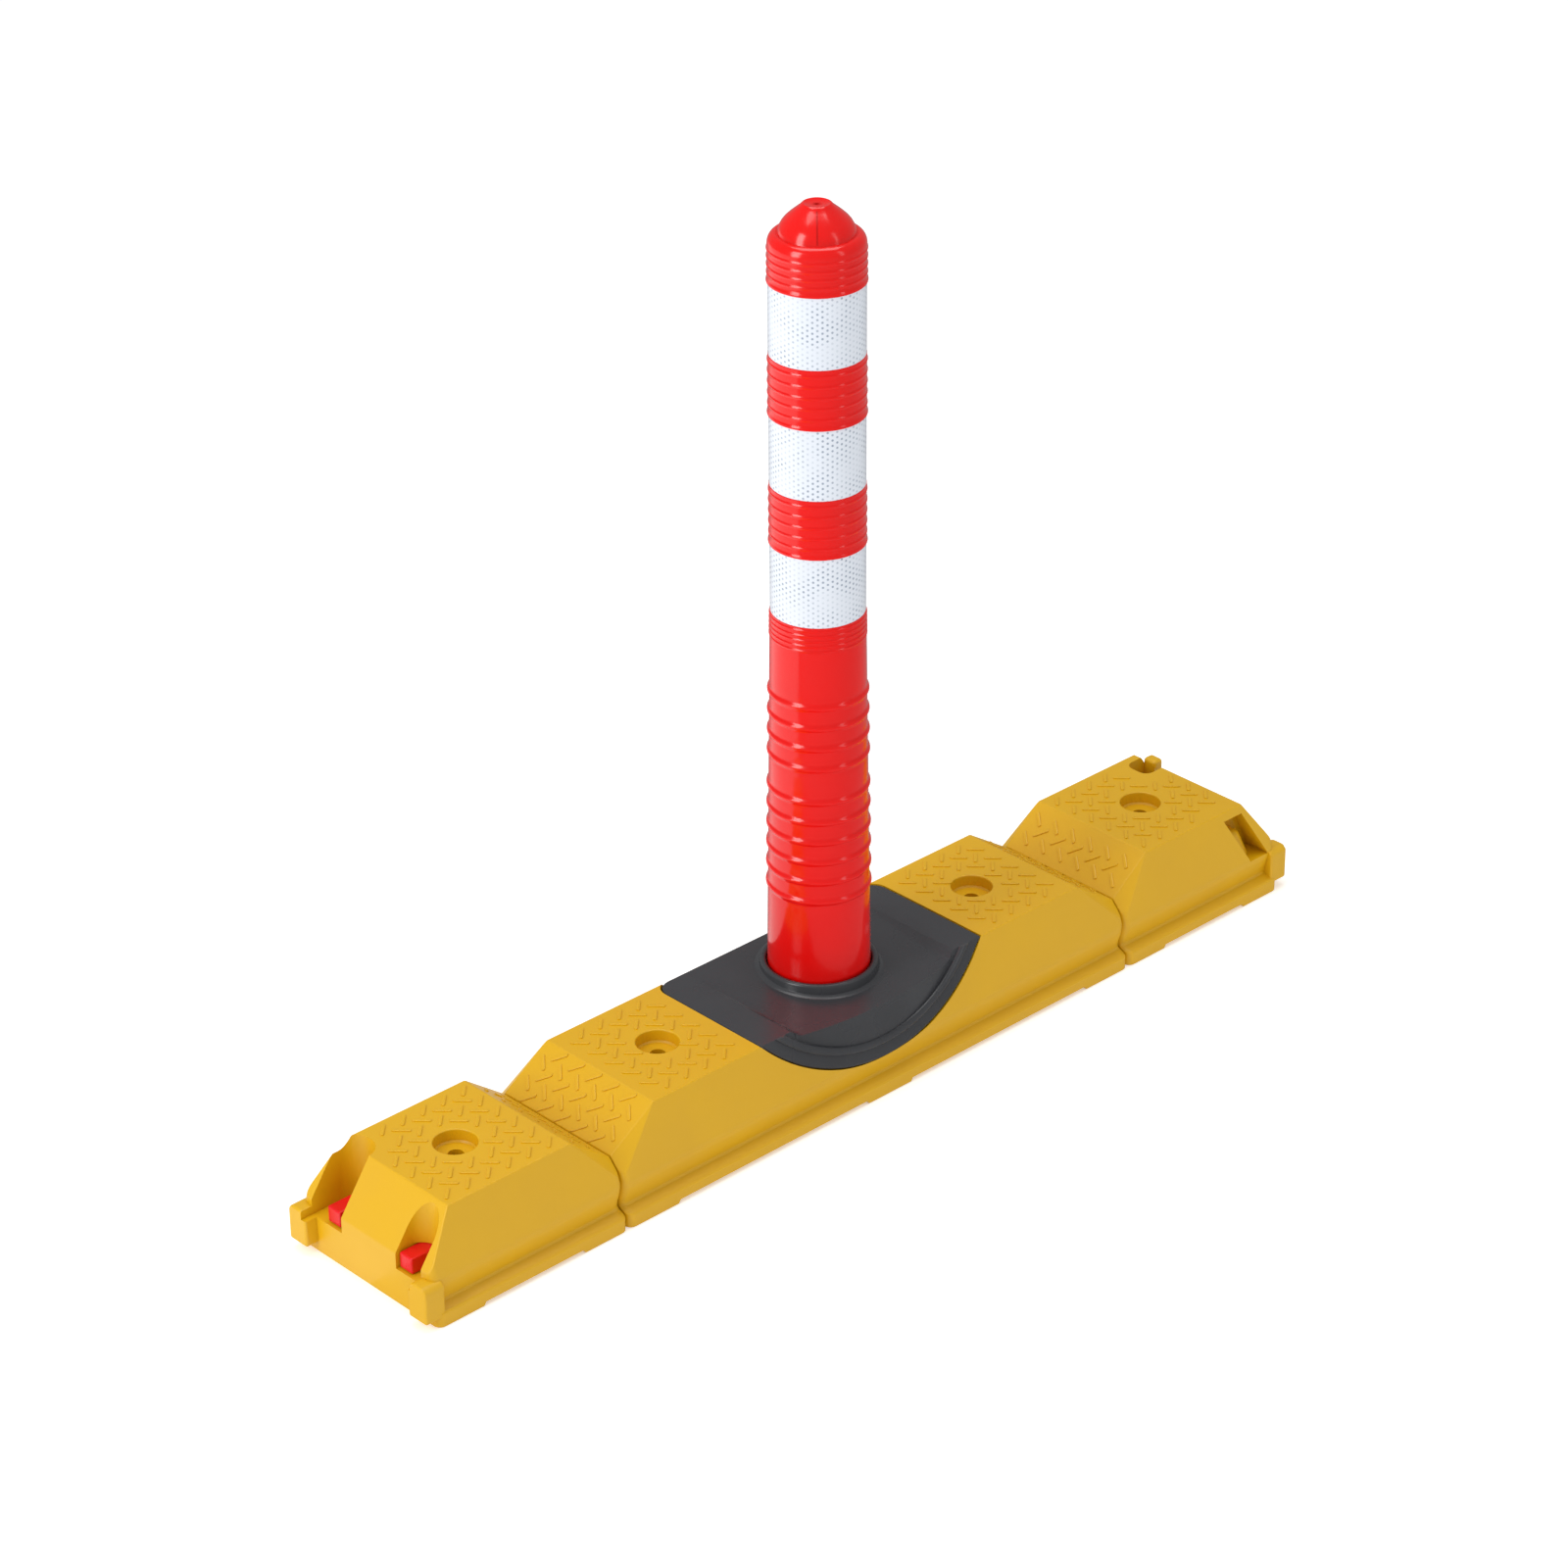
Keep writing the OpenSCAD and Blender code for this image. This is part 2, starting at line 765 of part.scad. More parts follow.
start_kerb();
middle_kerb();
end_kerb();
front_lock_bar();
rear_lock_bar();
start_seam_bars();
end_seam_bars();
foot_plate();
threaded_inserts();
clamp_ring();
clamp_washers();
clamp_bolts();
plate_washers();
plate_screws();
post_base();
lower_bellows();
post_waist();
upper_bellows();
post_tube();
post_cap();
lower_band();
middle_band();
upper_band();
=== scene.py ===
"""Looks of a lane divider kerb with a flexible delineator post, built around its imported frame."""
import logging
import math
from collections.abc import Callable, Iterator
from contextlib import contextmanager
from dataclasses import dataclass, field
from enum import Enum

import bmesh
import bpy
from mathutils import Matrix, Vector


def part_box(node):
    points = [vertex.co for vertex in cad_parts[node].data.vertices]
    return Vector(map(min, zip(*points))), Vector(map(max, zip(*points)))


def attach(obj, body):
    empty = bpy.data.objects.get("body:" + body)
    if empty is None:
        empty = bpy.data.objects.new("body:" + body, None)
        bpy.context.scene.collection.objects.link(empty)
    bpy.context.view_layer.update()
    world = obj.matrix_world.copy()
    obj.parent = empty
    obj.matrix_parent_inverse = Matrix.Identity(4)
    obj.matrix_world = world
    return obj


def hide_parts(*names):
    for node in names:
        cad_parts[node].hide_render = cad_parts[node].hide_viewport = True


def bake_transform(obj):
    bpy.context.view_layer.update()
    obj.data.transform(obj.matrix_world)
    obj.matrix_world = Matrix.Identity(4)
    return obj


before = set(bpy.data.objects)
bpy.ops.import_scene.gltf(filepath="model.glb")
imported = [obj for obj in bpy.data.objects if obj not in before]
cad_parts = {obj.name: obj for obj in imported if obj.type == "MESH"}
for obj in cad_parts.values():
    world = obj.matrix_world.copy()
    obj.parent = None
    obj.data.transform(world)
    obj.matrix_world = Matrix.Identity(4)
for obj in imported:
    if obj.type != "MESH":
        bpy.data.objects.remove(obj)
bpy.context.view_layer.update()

MM = 0.001
LOG = logging.getLogger("lane_divider")
SMOOTH_ANGLE = math.radians(32)
MERGE = 0.02 * MM

Point = tuple[float, float, float]
Profile = list[tuple[float, float]]


class Slot(Enum):
    """The record's material slots."""

    KERB = "kerb_yellow"
    BAR = "bar_red"
    PLATE = "plate_black"
    POST = "post_red"
    BAND = "band_white"
    ZINC = "zinc_steel"
    BRASS = "insert_brass"


class Body(Enum):
    """The bodies that pieces ride on."""

    KERB = "kerb"
    POST_MIDDLE = "post_middle"
    POST_TOP = "post_top"
    FRONT_BAR = "front_bar"
    REAR_BAR = "rear_bar"


class Operation(Enum):
    """Ways to combine two solids."""

    ADD = "UNION"
    CUT = "DIFFERENCE"
    OVERLAP = "INTERSECT"


# ---------------------------------------------------------------- modelling helpers


def activate(obj: bpy.types.Object) -> None:
    """Makes an object the only selected and the active one.

    Args:
        obj: the object.
    """
    bpy.ops.object.select_all(action="DESELECT")
    obj.select_set(True)
    bpy.context.view_layer.objects.active = obj


@contextmanager
def editing(obj: bpy.types.Object) -> Iterator[bpy.types.Object]:
    """Opens an object in edit mode for the length of a with block.

    Args:
        obj: the object to edit.

    Returns:
        The same object.
    """
    activate(obj)
    bpy.ops.object.mode_set(mode="EDIT")
    try:
        yield obj
    finally:
        bpy.ops.object.mode_set(mode="OBJECT")


def select_faces(obj: bpy.types.Object, keep: Callable[[bmesh.types.BMFace], bool]) -> None:
    """Selects in edit mode the faces that keep accepts, and nothing else.

    Args:
        obj: the object in edit mode.
        keep: tells whether a face is selected.
    """
    bpy.ops.mesh.select_mode(type="FACE")
    bpy.ops.mesh.select_all(action="DESELECT")
    mesh = bmesh.from_edit_mesh(obj.data)
    for face in mesh.faces:
        face.select_set(keep(face))
    bmesh.update_edit_mesh(obj.data)


def select_edges(obj: bpy.types.Object, keep: Callable[[bmesh.types.BMEdge], bool]) -> None:
    """Selects in edit mode the edges that keep accepts, and nothing else.

    Args:
        obj: the object in edit mode.
        keep: tells whether an edge is selected.
    """
    bpy.ops.mesh.select_mode(type="EDGE")
    bpy.ops.mesh.select_all(action="DESELECT")
    mesh = bmesh.from_edit_mesh(obj.data)
    for edge in mesh.edges:
        edge.select_set(keep(edge))
    bmesh.update_edit_mesh(obj.data)


def is_upright(edge: bmesh.types.BMEdge) -> bool:
    """Whether an edge's ends lie at different heights."""
    return abs(edge.verts[0].co.z - edge.verts[1].co.z) > MM


def faces_up(face: bmesh.types.BMFace) -> bool:
    """Whether a face looks upwards."""
    return face.normal.z > 0.9


def settle(obj: bpy.types.Object) -> bpy.types.Object:
    """Applies an object's place, turn and scale to its mesh.

    Args:
        obj: the object to settle.

    Returns:
        The same object.
    """
    activate(obj)
    bpy.ops.object.transform_apply(location=True, rotation=True, scale=True)
    return obj


def add_block(name: str, low: Point, high: Point) -> bpy.types.Object:
    """Adds a block between two corners.

    Args:
        name: the object's name.
        low: lowest corner, in mm.
        high: highest corner, in mm.

    Returns:
        The new object.
    """
    bpy.ops.object.select_all(action="DESELECT")
    middle = [(a + b) / 2 * MM for a, b in zip(low, high)]
    size = [(b - a) * MM for a, b in zip(low, high)]
    bpy.ops.mesh.primitive_cube_add(size=1, location=middle, scale=size)
    obj = bpy.context.object
    obj.name = name
    return settle(obj)


def add_round(name: str, radius: float, low: Point, height: float, sides: int = 64) -> bpy.types.Object:
    """Adds an upright cylinder.

    Args:
        name: the object's name.
        radius: its radius, in mm.
        low: centre of its lower face, in mm.
        height: its height, in mm.
        sides: its number of sides.

    Returns:
        The new object.
    """
    bpy.ops.object.select_all(action="DESELECT")
    middle = (low[0] * MM, low[1] * MM, (low[2] + height / 2) * MM)
    bpy.ops.mesh.primitive_cylinder_add(
        vertices=sides, radius=radius * MM, depth=height * MM, location=middle)
    obj = bpy.context.object
    obj.name = name
    return settle(obj)


def turn_profile(name: str, profile: Profile, sides: int = 96,
                 place: Point = (0, 0, 0)) -> bpy.types.Object:
    """Turns a profile about an upright axis, ring by ring, as on a lathe.

    Args:
        name: the object's name.
        profile: radius and height of each ring, in mm; it closes where the last equals the first.
        sides: the number of sides of a ring.
        place: where the axis meets height 0, in mm.

    Returns:
        The new object.
    """
    bpy.ops.object.select_all(action="DESELECT")
    radius, height = profile[0]
    bpy.ops.mesh.primitive_circle_add(
        vertices=sides, radius=radius * MM, fill_type="NOTHING", location=(0, 0, height * MM))
    obj = bpy.context.object
    obj.name = name
    settle(obj)
    with editing(obj):
        bpy.ops.mesh.select_mode(type="VERT")
        bpy.ops.mesh.select_all(action="SELECT")
        for next_radius, next_height in profile[1:]:
            bpy.ops.mesh.extrude_region_move(
                TRANSFORM_OT_translate={"value": (0, 0, (next_height - height) * MM)})
            ratio = next_radius / radius
            centre = (0, 0, next_height * MM)
            bpy.ops.transform.resize(value=(ratio, ratio, 1), center_override=centre)
            radius, height = next_radius, next_height
        bpy.ops.mesh.select_all(action="SELECT")
        bpy.ops.mesh.remove_doubles(threshold=MERGE)
        bpy.ops.mesh.normals_make_consistent(inside=False)
    obj.location = Vector(place) * MM
    return settle(obj)


def slice_off(obj: bpy.types.Object, point: Point, normal: Point) -> None:
    """Cuts away the side of a plane that its normal points to, and closes the cut.

    Args:
        obj: the object to cut.
        point: a point on the plane, in mm.
        normal: the plane's normal, of any length.
    """
    with editing(obj):
        bpy.ops.mesh.select_all(action="SELECT")
        bpy.ops.mesh.bisect(
            plane_co=Vector(point) * MM, plane_no=Vector(normal).normalized(),
            use_fill=True, clear_outer=True)


def combine(obj: bpy.types.Object, tool: bpy.types.Object, operation: Operation) -> None:
    """Cuts tool out of obj, or adds it, and removes tool.

    Args:
        obj: the object that stays.
        tool: the object that is used up.
        operation: how the two are combined.
    """
    activate(obj)
    modifier = obj.modifiers.new("combine", "BOOLEAN")
    modifier.object = tool
    modifier.operation = operation.value
    modifier.solver = "EXACT"
    modifier.use_self = True
    modifier.material_mode = "TRANSFER"
    bpy.ops.object.modifier_apply(modifier=modifier.name)
    bpy.data.objects.remove(tool)


def join(pieces: list[bpy.types.Object]) -> bpy.types.Object:
    """Joins pieces into the first one.

    Args:
        pieces: the objects to join.

    Returns:
        The first object.
    """
    activate(pieces[0])
    for piece in pieces:
        piece.select_set(True)
    bpy.ops.object.join()
    return pieces[0]


def soften(obj: bpy.types.Object, width: float, rule: Callable[[bmesh.types.BMEdge], float],
           segments: int = 3) -> None:
    """Rounds edges, each by its own share of a width.

    Args:
        obj: the object whose edges are rounded.
        width: the widest rounding, in mm.
        rule: gives an edge's share, from 0 to 1.
        segments: the number of facets across a rounding.
    """
    mesh = bmesh.new()
    mesh.from_mesh(obj.data)
    shares = [rule(edge) if len(edge.link_faces) == 2 else 0.0 for edge in mesh.edges]
    mesh.free()
    name = "bevel_weight_edge"
    layer = obj.data.attributes.get(name) or obj.data.attributes.new(name, "FLOAT", "EDGE")
    layer.data.foreach_set("value", shares)
    activate(obj)
    modifier = obj.modifiers.new("soften", "BEVEL")
    modifier.width = width * MM
    modifier.segments = segments
    modifier.limit_method = "WEIGHT"
    modifier.use_clamp_overlap = True
    modifier.miter_outer = "MITER_SHARP"
    bpy.ops.object.modifier_apply(modifier=modifier.name)
    obj.data.attributes.remove(obj.data.attributes[name])


def clean(obj: bpy.types.Object) -> None:
    """Merges doubled vertices and dissolves what has no area.

    Args:
        obj: the object to clean.
    """
    with editing(obj):
        bpy.ops.mesh.select_all(action="SELECT")
        bpy.ops.mesh.remove_doubles(threshold=MERGE)
        bpy.ops.mesh.dissolve_degenerate(threshold=MERGE)


def dress(obj: bpy.types.Object, material: bpy.types.Material) -> None:
    """Gives an object its only material.

    Args:
        obj: the object to dress.
        material: its material.
    """
    obj.data.polygons.foreach_set("material_index", [0] * len(obj.data.polygons))
    obj.data.materials.clear()
    obj.data.materials.append(material)


def smooth(obj: bpy.types.Object) -> None:
    """Shades an object smooth, apart from its sharp edges, with its large faces kept flat.

    Args:
        obj: the object to shade.
    """
    activate(obj)
    bpy.ops.object.shade_smooth_by_angle(angle=SMOOTH_ANGLE)
    modifier = obj.modifiers.new("flat_faces", "WEIGHTED_NORMAL")
    modifier.keep_sharp = True
    bpy.ops.object.modifier_apply(modifier=modifier.name)


def box_mm(node: str) -> tuple[Vector, Vector]:
    """The corners of a CAD node's box, in mm."""
    low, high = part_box(node)
    return low / MM, high / MM


def report(*pieces: bpy.types.Object) -> None:
    """Logs finished pieces with their numbers of faces.

    Args:
        pieces: the finished objects.
    """
    for piece in pieces:
        LOG.info("%s: %d faces", piece.name, len(piece.data.polygons))


# ---------------------------------------------------------------- finishes


def linear(colour: str) -> tuple[float, float, float, float]:
    """Turns an sRGB hex value into linear RGBA.

    Args:
        colour: the value, such as #d9a92b.

    Returns:
        Red, green, blue and an alpha of 1.
    """
    parts = [int(colour[i:i + 2], 16) / 255 for i in (1, 3, 5)]
    values = [c / 12.92 if c <= 0.04045 else ((c + 0.055) / 1.055) ** 2.4 for c in parts]
    return (values[0], values[1], values[2], 1.0)


def add_node(tree: bpy.types.NodeTree, kind: str, values: dict | None = None,
             links: dict | None = None, **settings: object) -> bpy.types.Node:
    """Adds a shader node.

    Args:
        tree: the material's node tree.
        kind: the node's type.
        values: input name or number to its constant.
        links: input name or number to the output socket that feeds it.
        settings: the node's own properties.

    Returns:
        The new node.
    """
    node = tree.nodes.new(kind)
    for name, value in settings.items():
        setattr(node, name, value)
    for key, value in (values or {}).items():
        node.inputs[key].default_value = value
    for key, socket in (links or {}).items():
        tree.links.new(socket, node.inputs[key])
    return node


def new_material(name: str) -> tuple[bpy.types.Material, bpy.types.NodeTree]:
    """Makes an empty node material.

    Args:
        name: the material's name.

    Returns:
        The material and its node tree.
    """
    material = bpy.data.materials.new(name)
    material.use_nodes = True
    material.node_tree.nodes.clear()
    return material, material.node_tree


@dataclass(frozen=True)
class MouldedPlastic:
    """A moulded plastic: even colour with faint clouds, a fine grain and soft flow waves."""

    name: str
    colour: str
    cloud_colour: str
    roughness: float
    roughness_swing: float
    cloud_mm: float
    grain_mm: float
    grain_height_mm: float
    wave_mm: float
    wave_height_mm: float
    coat: float = 0.0

    def build(self) -> bpy.types.Material:
        """Makes the material."""
        material, tree = new_material(self.name)
        place = add_node(tree, "ShaderNodeTexCoord").outputs["Object"]
        clouds = add_node(tree, "ShaderNodeTexNoise",
                          {"Scale": 1 / (self.cloud_mm * MM), "Detail": 3.0}, {"Vector": place})
        grain = add_node(tree, "ShaderNodeTexNoise",
                         {"Scale": 1 / (self.grain_mm * MM), "Detail": 2.0}, {"Vector": place})
        waves = add_node(tree, "ShaderNodeTexNoise",
                         {"Scale": 1 / (self.wave_mm * MM), "Detail": 1.0}, {"Vector": place})
        colour = add_node(tree, "ShaderNodeMix",
                          {6: linear(self.colour), 7: linear(self.cloud_colour)},
                          {"Factor": clouds.outputs["Fac"]}, data_type="RGBA")
        shine = add_node(tree, "ShaderNodeMapRange",
                         {"From Min": 0.3, "From Max": 0.7,
                          "To Min": self.roughness - self.roughness_swing,
                          "To Max": self.roughness + self.roughness_swing},
                         {"Value": clouds.outputs["Fac"]})
        wavy = add_node(tree, "ShaderNodeBump", {"Strength": 1.0, "Distance": self.wave_height_mm * MM},
                        {"Height": waves.outputs["Fac"]})
        rough = add_node(tree, "ShaderNodeBump", {"Strength": 1.0, "Distance": self.grain_height_mm * MM},
                         {"Height": grain.outputs["Fac"], "Normal": wavy.outputs["Normal"]})
        shader = add_node(tree, "ShaderNodeBsdfPrincipled",
                          {"IOR": 1.5, "Coat Weight": self.coat, "Coat Roughness": 0.08},
                          {"Base Color": colour.outputs[2], "Roughness": shine.outputs["Result"],
                           "Normal": rough.outputs["Normal"]})
        add_node(tree, "ShaderNodeOutputMaterial", links={"Surface": shader.outputs["BSDF"]})
        return material


@dataclass(frozen=True)
class ReflectiveSheeting:
    """White prismatic sheeting: a smooth film over a honeycomb of fine cells."""

    name: str = "prismatic_reflective_sheeting"
    colour: str = "#dfe5ee"
    cell_colour: str = "#8f9cad"
    cells_round: int = 62
    radius_mm: float = 40.2
    patch_mm: float = 22.0

    def build(self) -> bpy.types.Material:
        """Makes the material."""
        material, tree = new_material(self.name)
        place = add_node(tree, "ShaderNodeTexCoord").outputs["Object"]
        parts = add_node(tree, "ShaderNodeSeparateXYZ", links={0: place})
        angle = add_node(tree, "ShaderNodeMath", links={0: parts.outputs["Y"], 1: parts.outputs["X"]},
                         operation="ARCTAN2").outputs[0]
        diagonal = self.cells_round / 2
        pitch = 2 * math.pi * self.radius_mm / self.cells_round
        climb = 2 * math.pi / (pitch * MM) * math.sqrt(3) / 2
        rise = add_node(tree, "ShaderNodeMath", {1: climb}, {0: parts.outputs["Z"]},
                        operation="MULTIPLY").outputs[0]
        waves = []
        for turns, sign in ((self.cells_round, 0.0), (diagonal, 1.0), (diagonal, -1.0)):
            along = add_node(tree, "ShaderNodeMath", {1: sign}, {0: rise}, operation="MULTIPLY").outputs[0]
            phase = add_node(tree, "ShaderNodeMath", {1: turns}, {0: angle, 2: along},
                             operation="MULTIPLY_ADD").outputs[0]
            wave = add_node(tree, "ShaderNodeMath", links={0: phase}, operation="COSINE")
            waves.append(wave.outputs[0])
        pair = add_node(tree, "ShaderNodeMath", links={0: waves[0], 1: waves[1]}, operation="ADD").outputs[0]
        comb = add_node(tree, "ShaderNodeMath", links={0: pair, 1: waves[2]}, operation="ADD").outputs[0]
        cells = add_node(tree, "ShaderNodeMapRange", {"From Min": 0.4, "From Max": 2.6},
                         {"Value": comb}, interpolation_type="SMOOTHSTEP").outputs["Result"]
        patches = add_node(tree, "ShaderNodeTexNoise", {"Scale": 1 / (self.patch_mm * MM), "Detail": 2.0},
                           {"Vector": place}).outputs["Fac"]
        depth = add_node(tree, "ShaderNodeMapRange",
                         {"From Min": 0.4, "From Max": 0.62, "To Min": 0.25, "To Max": 0.95},
                         {"Value": patches}).outputs["Result"]
        share = add_node(tree, "ShaderNodeMath", links={0: cells, 1: depth}, operation="MULTIPLY").outputs[0]
        colour = add_node(tree, "ShaderNodeMix",
                          {6: linear(self.colour), 7: linear(self.cell_colour)},
                          {"Factor": share}, data_type="RGBA")
        bump = add_node(tree, "ShaderNodeBump", {"Strength": 0.4, "Distance": 0.08 * MM}, {"Height": cells})
        shader = add_node(tree, "ShaderNodeBsdfPrincipled",
                          {"IOR": 1.5, "Roughness": 0.32, "Coat Weight": 0.4, "Coat Roughness": 0.06},
                          {"Base Color": colour.outputs[2], "Normal": bump.outputs["Normal"]})
        add_node(tree, "ShaderNodeOutputMaterial", links={"Surface": shader.outputs["BSDF"]})
        return material


@dataclass(frozen=True)
class WorkedMetal:
    """A metal with fine tool marks and slightly uneven tarnish."""

    name: str
    colour: str
    tarnish: str
    roughness: float
    mark_mm: float

    def build(self) -> bpy.types.Material:
        """Makes the material."""
        material, tree = new_material(self.name)
        place = add_node(tree, "ShaderNodeTexCoord").outputs["Object"]
        marks = add_node(tree, "ShaderNodeTexNoise",
                         {"Scale": 1 / (self.mark_mm * MM), "Detail": 3.0}, {"Vector": place})
        colour = add_node(tree, "ShaderNodeMix", {6: linear(self.colour), 7: linear(self.tarnish)},
                          {"Factor": marks.outputs["Fac"]}, data_type="RGBA")
        shine = add_node(tree, "ShaderNodeMapRange",
                         {"To Min": self.roughness - 0.08, "To Max": self.roughness + 0.12},
                         {"Value": marks.outputs["Fac"]})
        bump = add_node(tree, "ShaderNodeBump", {"Strength": 0.5, "Distance": 0.03 * MM},
                        {"Height": marks.outputs["Fac"]})
        shader = add_node(tree, "ShaderNodeBsdfPrincipled", {"Metallic": 1.0},
                          {"Base Color": colour.outputs[2], "Roughness": shine.outputs["Result"],
                           "Normal": bump.outputs["Normal"]})
        add_node(tree, "ShaderNodeOutputMaterial", links={"Surface": shader.outputs["BSDF"]})
        return material


# Polyethylene, injection moulded: satin, warm yellow, slightly cloudy, soft sheen on the edges
YELLOW = MouldedPlastic("yellow_polyethylene", "#dcab08", "#d5a304", 0.42, 0.05,
                        cloud_mm=60, grain_mm=1.2, grain_height_mm=0.02, wave_mm=28, wave_height_mm=0.25)
# The same resin with a red pigment: a little glossier, cut from a stiffer grade
BAR_RED = MouldedPlastic("red_polyethylene", "#e40c18", "#d4080f", 0.30, 0.04,
                         cloud_mm=30, grain_mm=1.0, grain_height_mm=0.015, wave_mm=20, wave_height_mm=0.1)
# Rubber-modified plastic, compression moulded: black, semi-gloss, mirrors the post softly
BLACK = MouldedPlastic("black_rubber_plastic", "#404144", "#38393c", 0.26, 0.05,
                       cloud_mm=45, grain_mm=0.9, grain_height_mm=0.015, wave_mm=35, wave_height_mm=0.2)
# Flexible polyurethane, injection moulded: saturated red with a wet gloss
RED = MouldedPlastic("red_polyurethane", "#e80a06", "#de0804", 0.16, 0.03,
                     cloud_mm=50, grain_mm=1.4, grain_height_mm=0.006, wave_mm=30, wave_height_mm=0.1,
                     coat=0.25)
# Zinc plate over steel: pale grey, finely mottled
ZINC = WorkedMetal("zinc_plated_steel", "#c3c6c8", "#a9adb1", 0.34, mark_mm=1.5)
# Turned brass: yellow metal with darker tarnish in its marks
BRASS = WorkedMetal("turned_brass", "#c9a24a", "#a9822f", 0.30, mark_mm=1.2)


# ---------------------------------------------------------------- kerb modules


@dataclass
class KerbShape:
    """Sizes that all three kerb modules share, in mm."""

    top_z: float = box_mm("middle_kerb")[1].z
    middle_end: float = box_mm("middle_kerb")[1].x
    seam_start: float = box_mm("end_kerb")[0].x
    ear_end: float = box_mm("end_kerb")[1].x
    ear_reach: float = 12.0
    top_half: float = 67.0
    side_foot: float = 83.5
    side_low: float = 43.0
    seam_z: float = 62.0
    middle_ramp: float = 48.0
    end_ramp: float = 42.0
    nose_z: float = 48.0
    nose_run: float = 32.0
    corner_r: float = 7.0
    corner_trim_z: float = 45.0
    wall: float = 7.0
    rib: float = 4.0
    hole_d: float = 14.0
    counterbore_d: float = 37.5
    counterbore_depth: float = 12.0
    bar_y: float = 46.0
    bar_low: float = 33.5
    bar_high: float = 49.5
    bar_half: float = 8.5
    drain_z: float = 3.5
    drain_slope: float = 3.5
    tread_step: float = 10.8

    @property
    def end_x(self) -> float:
        """Place of the outer end face."""
        return self.ear_end - self.ear_reach

    @property
    def section(self) -> Profile:
        """Half width at each height, from the flange up to the top."""
        return [(89, 12), (87.4, 13.6), (84, 15), (80, 17), (79, 19), (79.4, 24), (82.4, 33),
                (83.3, 38), (self.side_foot, self.side_low), (self.top_half, self.top_z)]

    def side_at(self, z: float) -> float:
        """Half width of the plane side wall at a height."""
        fall = self.side_foot - self.top_half
        return self.side_foot - fall * (z - self.side_low) / (self.top_z - self.side_low)


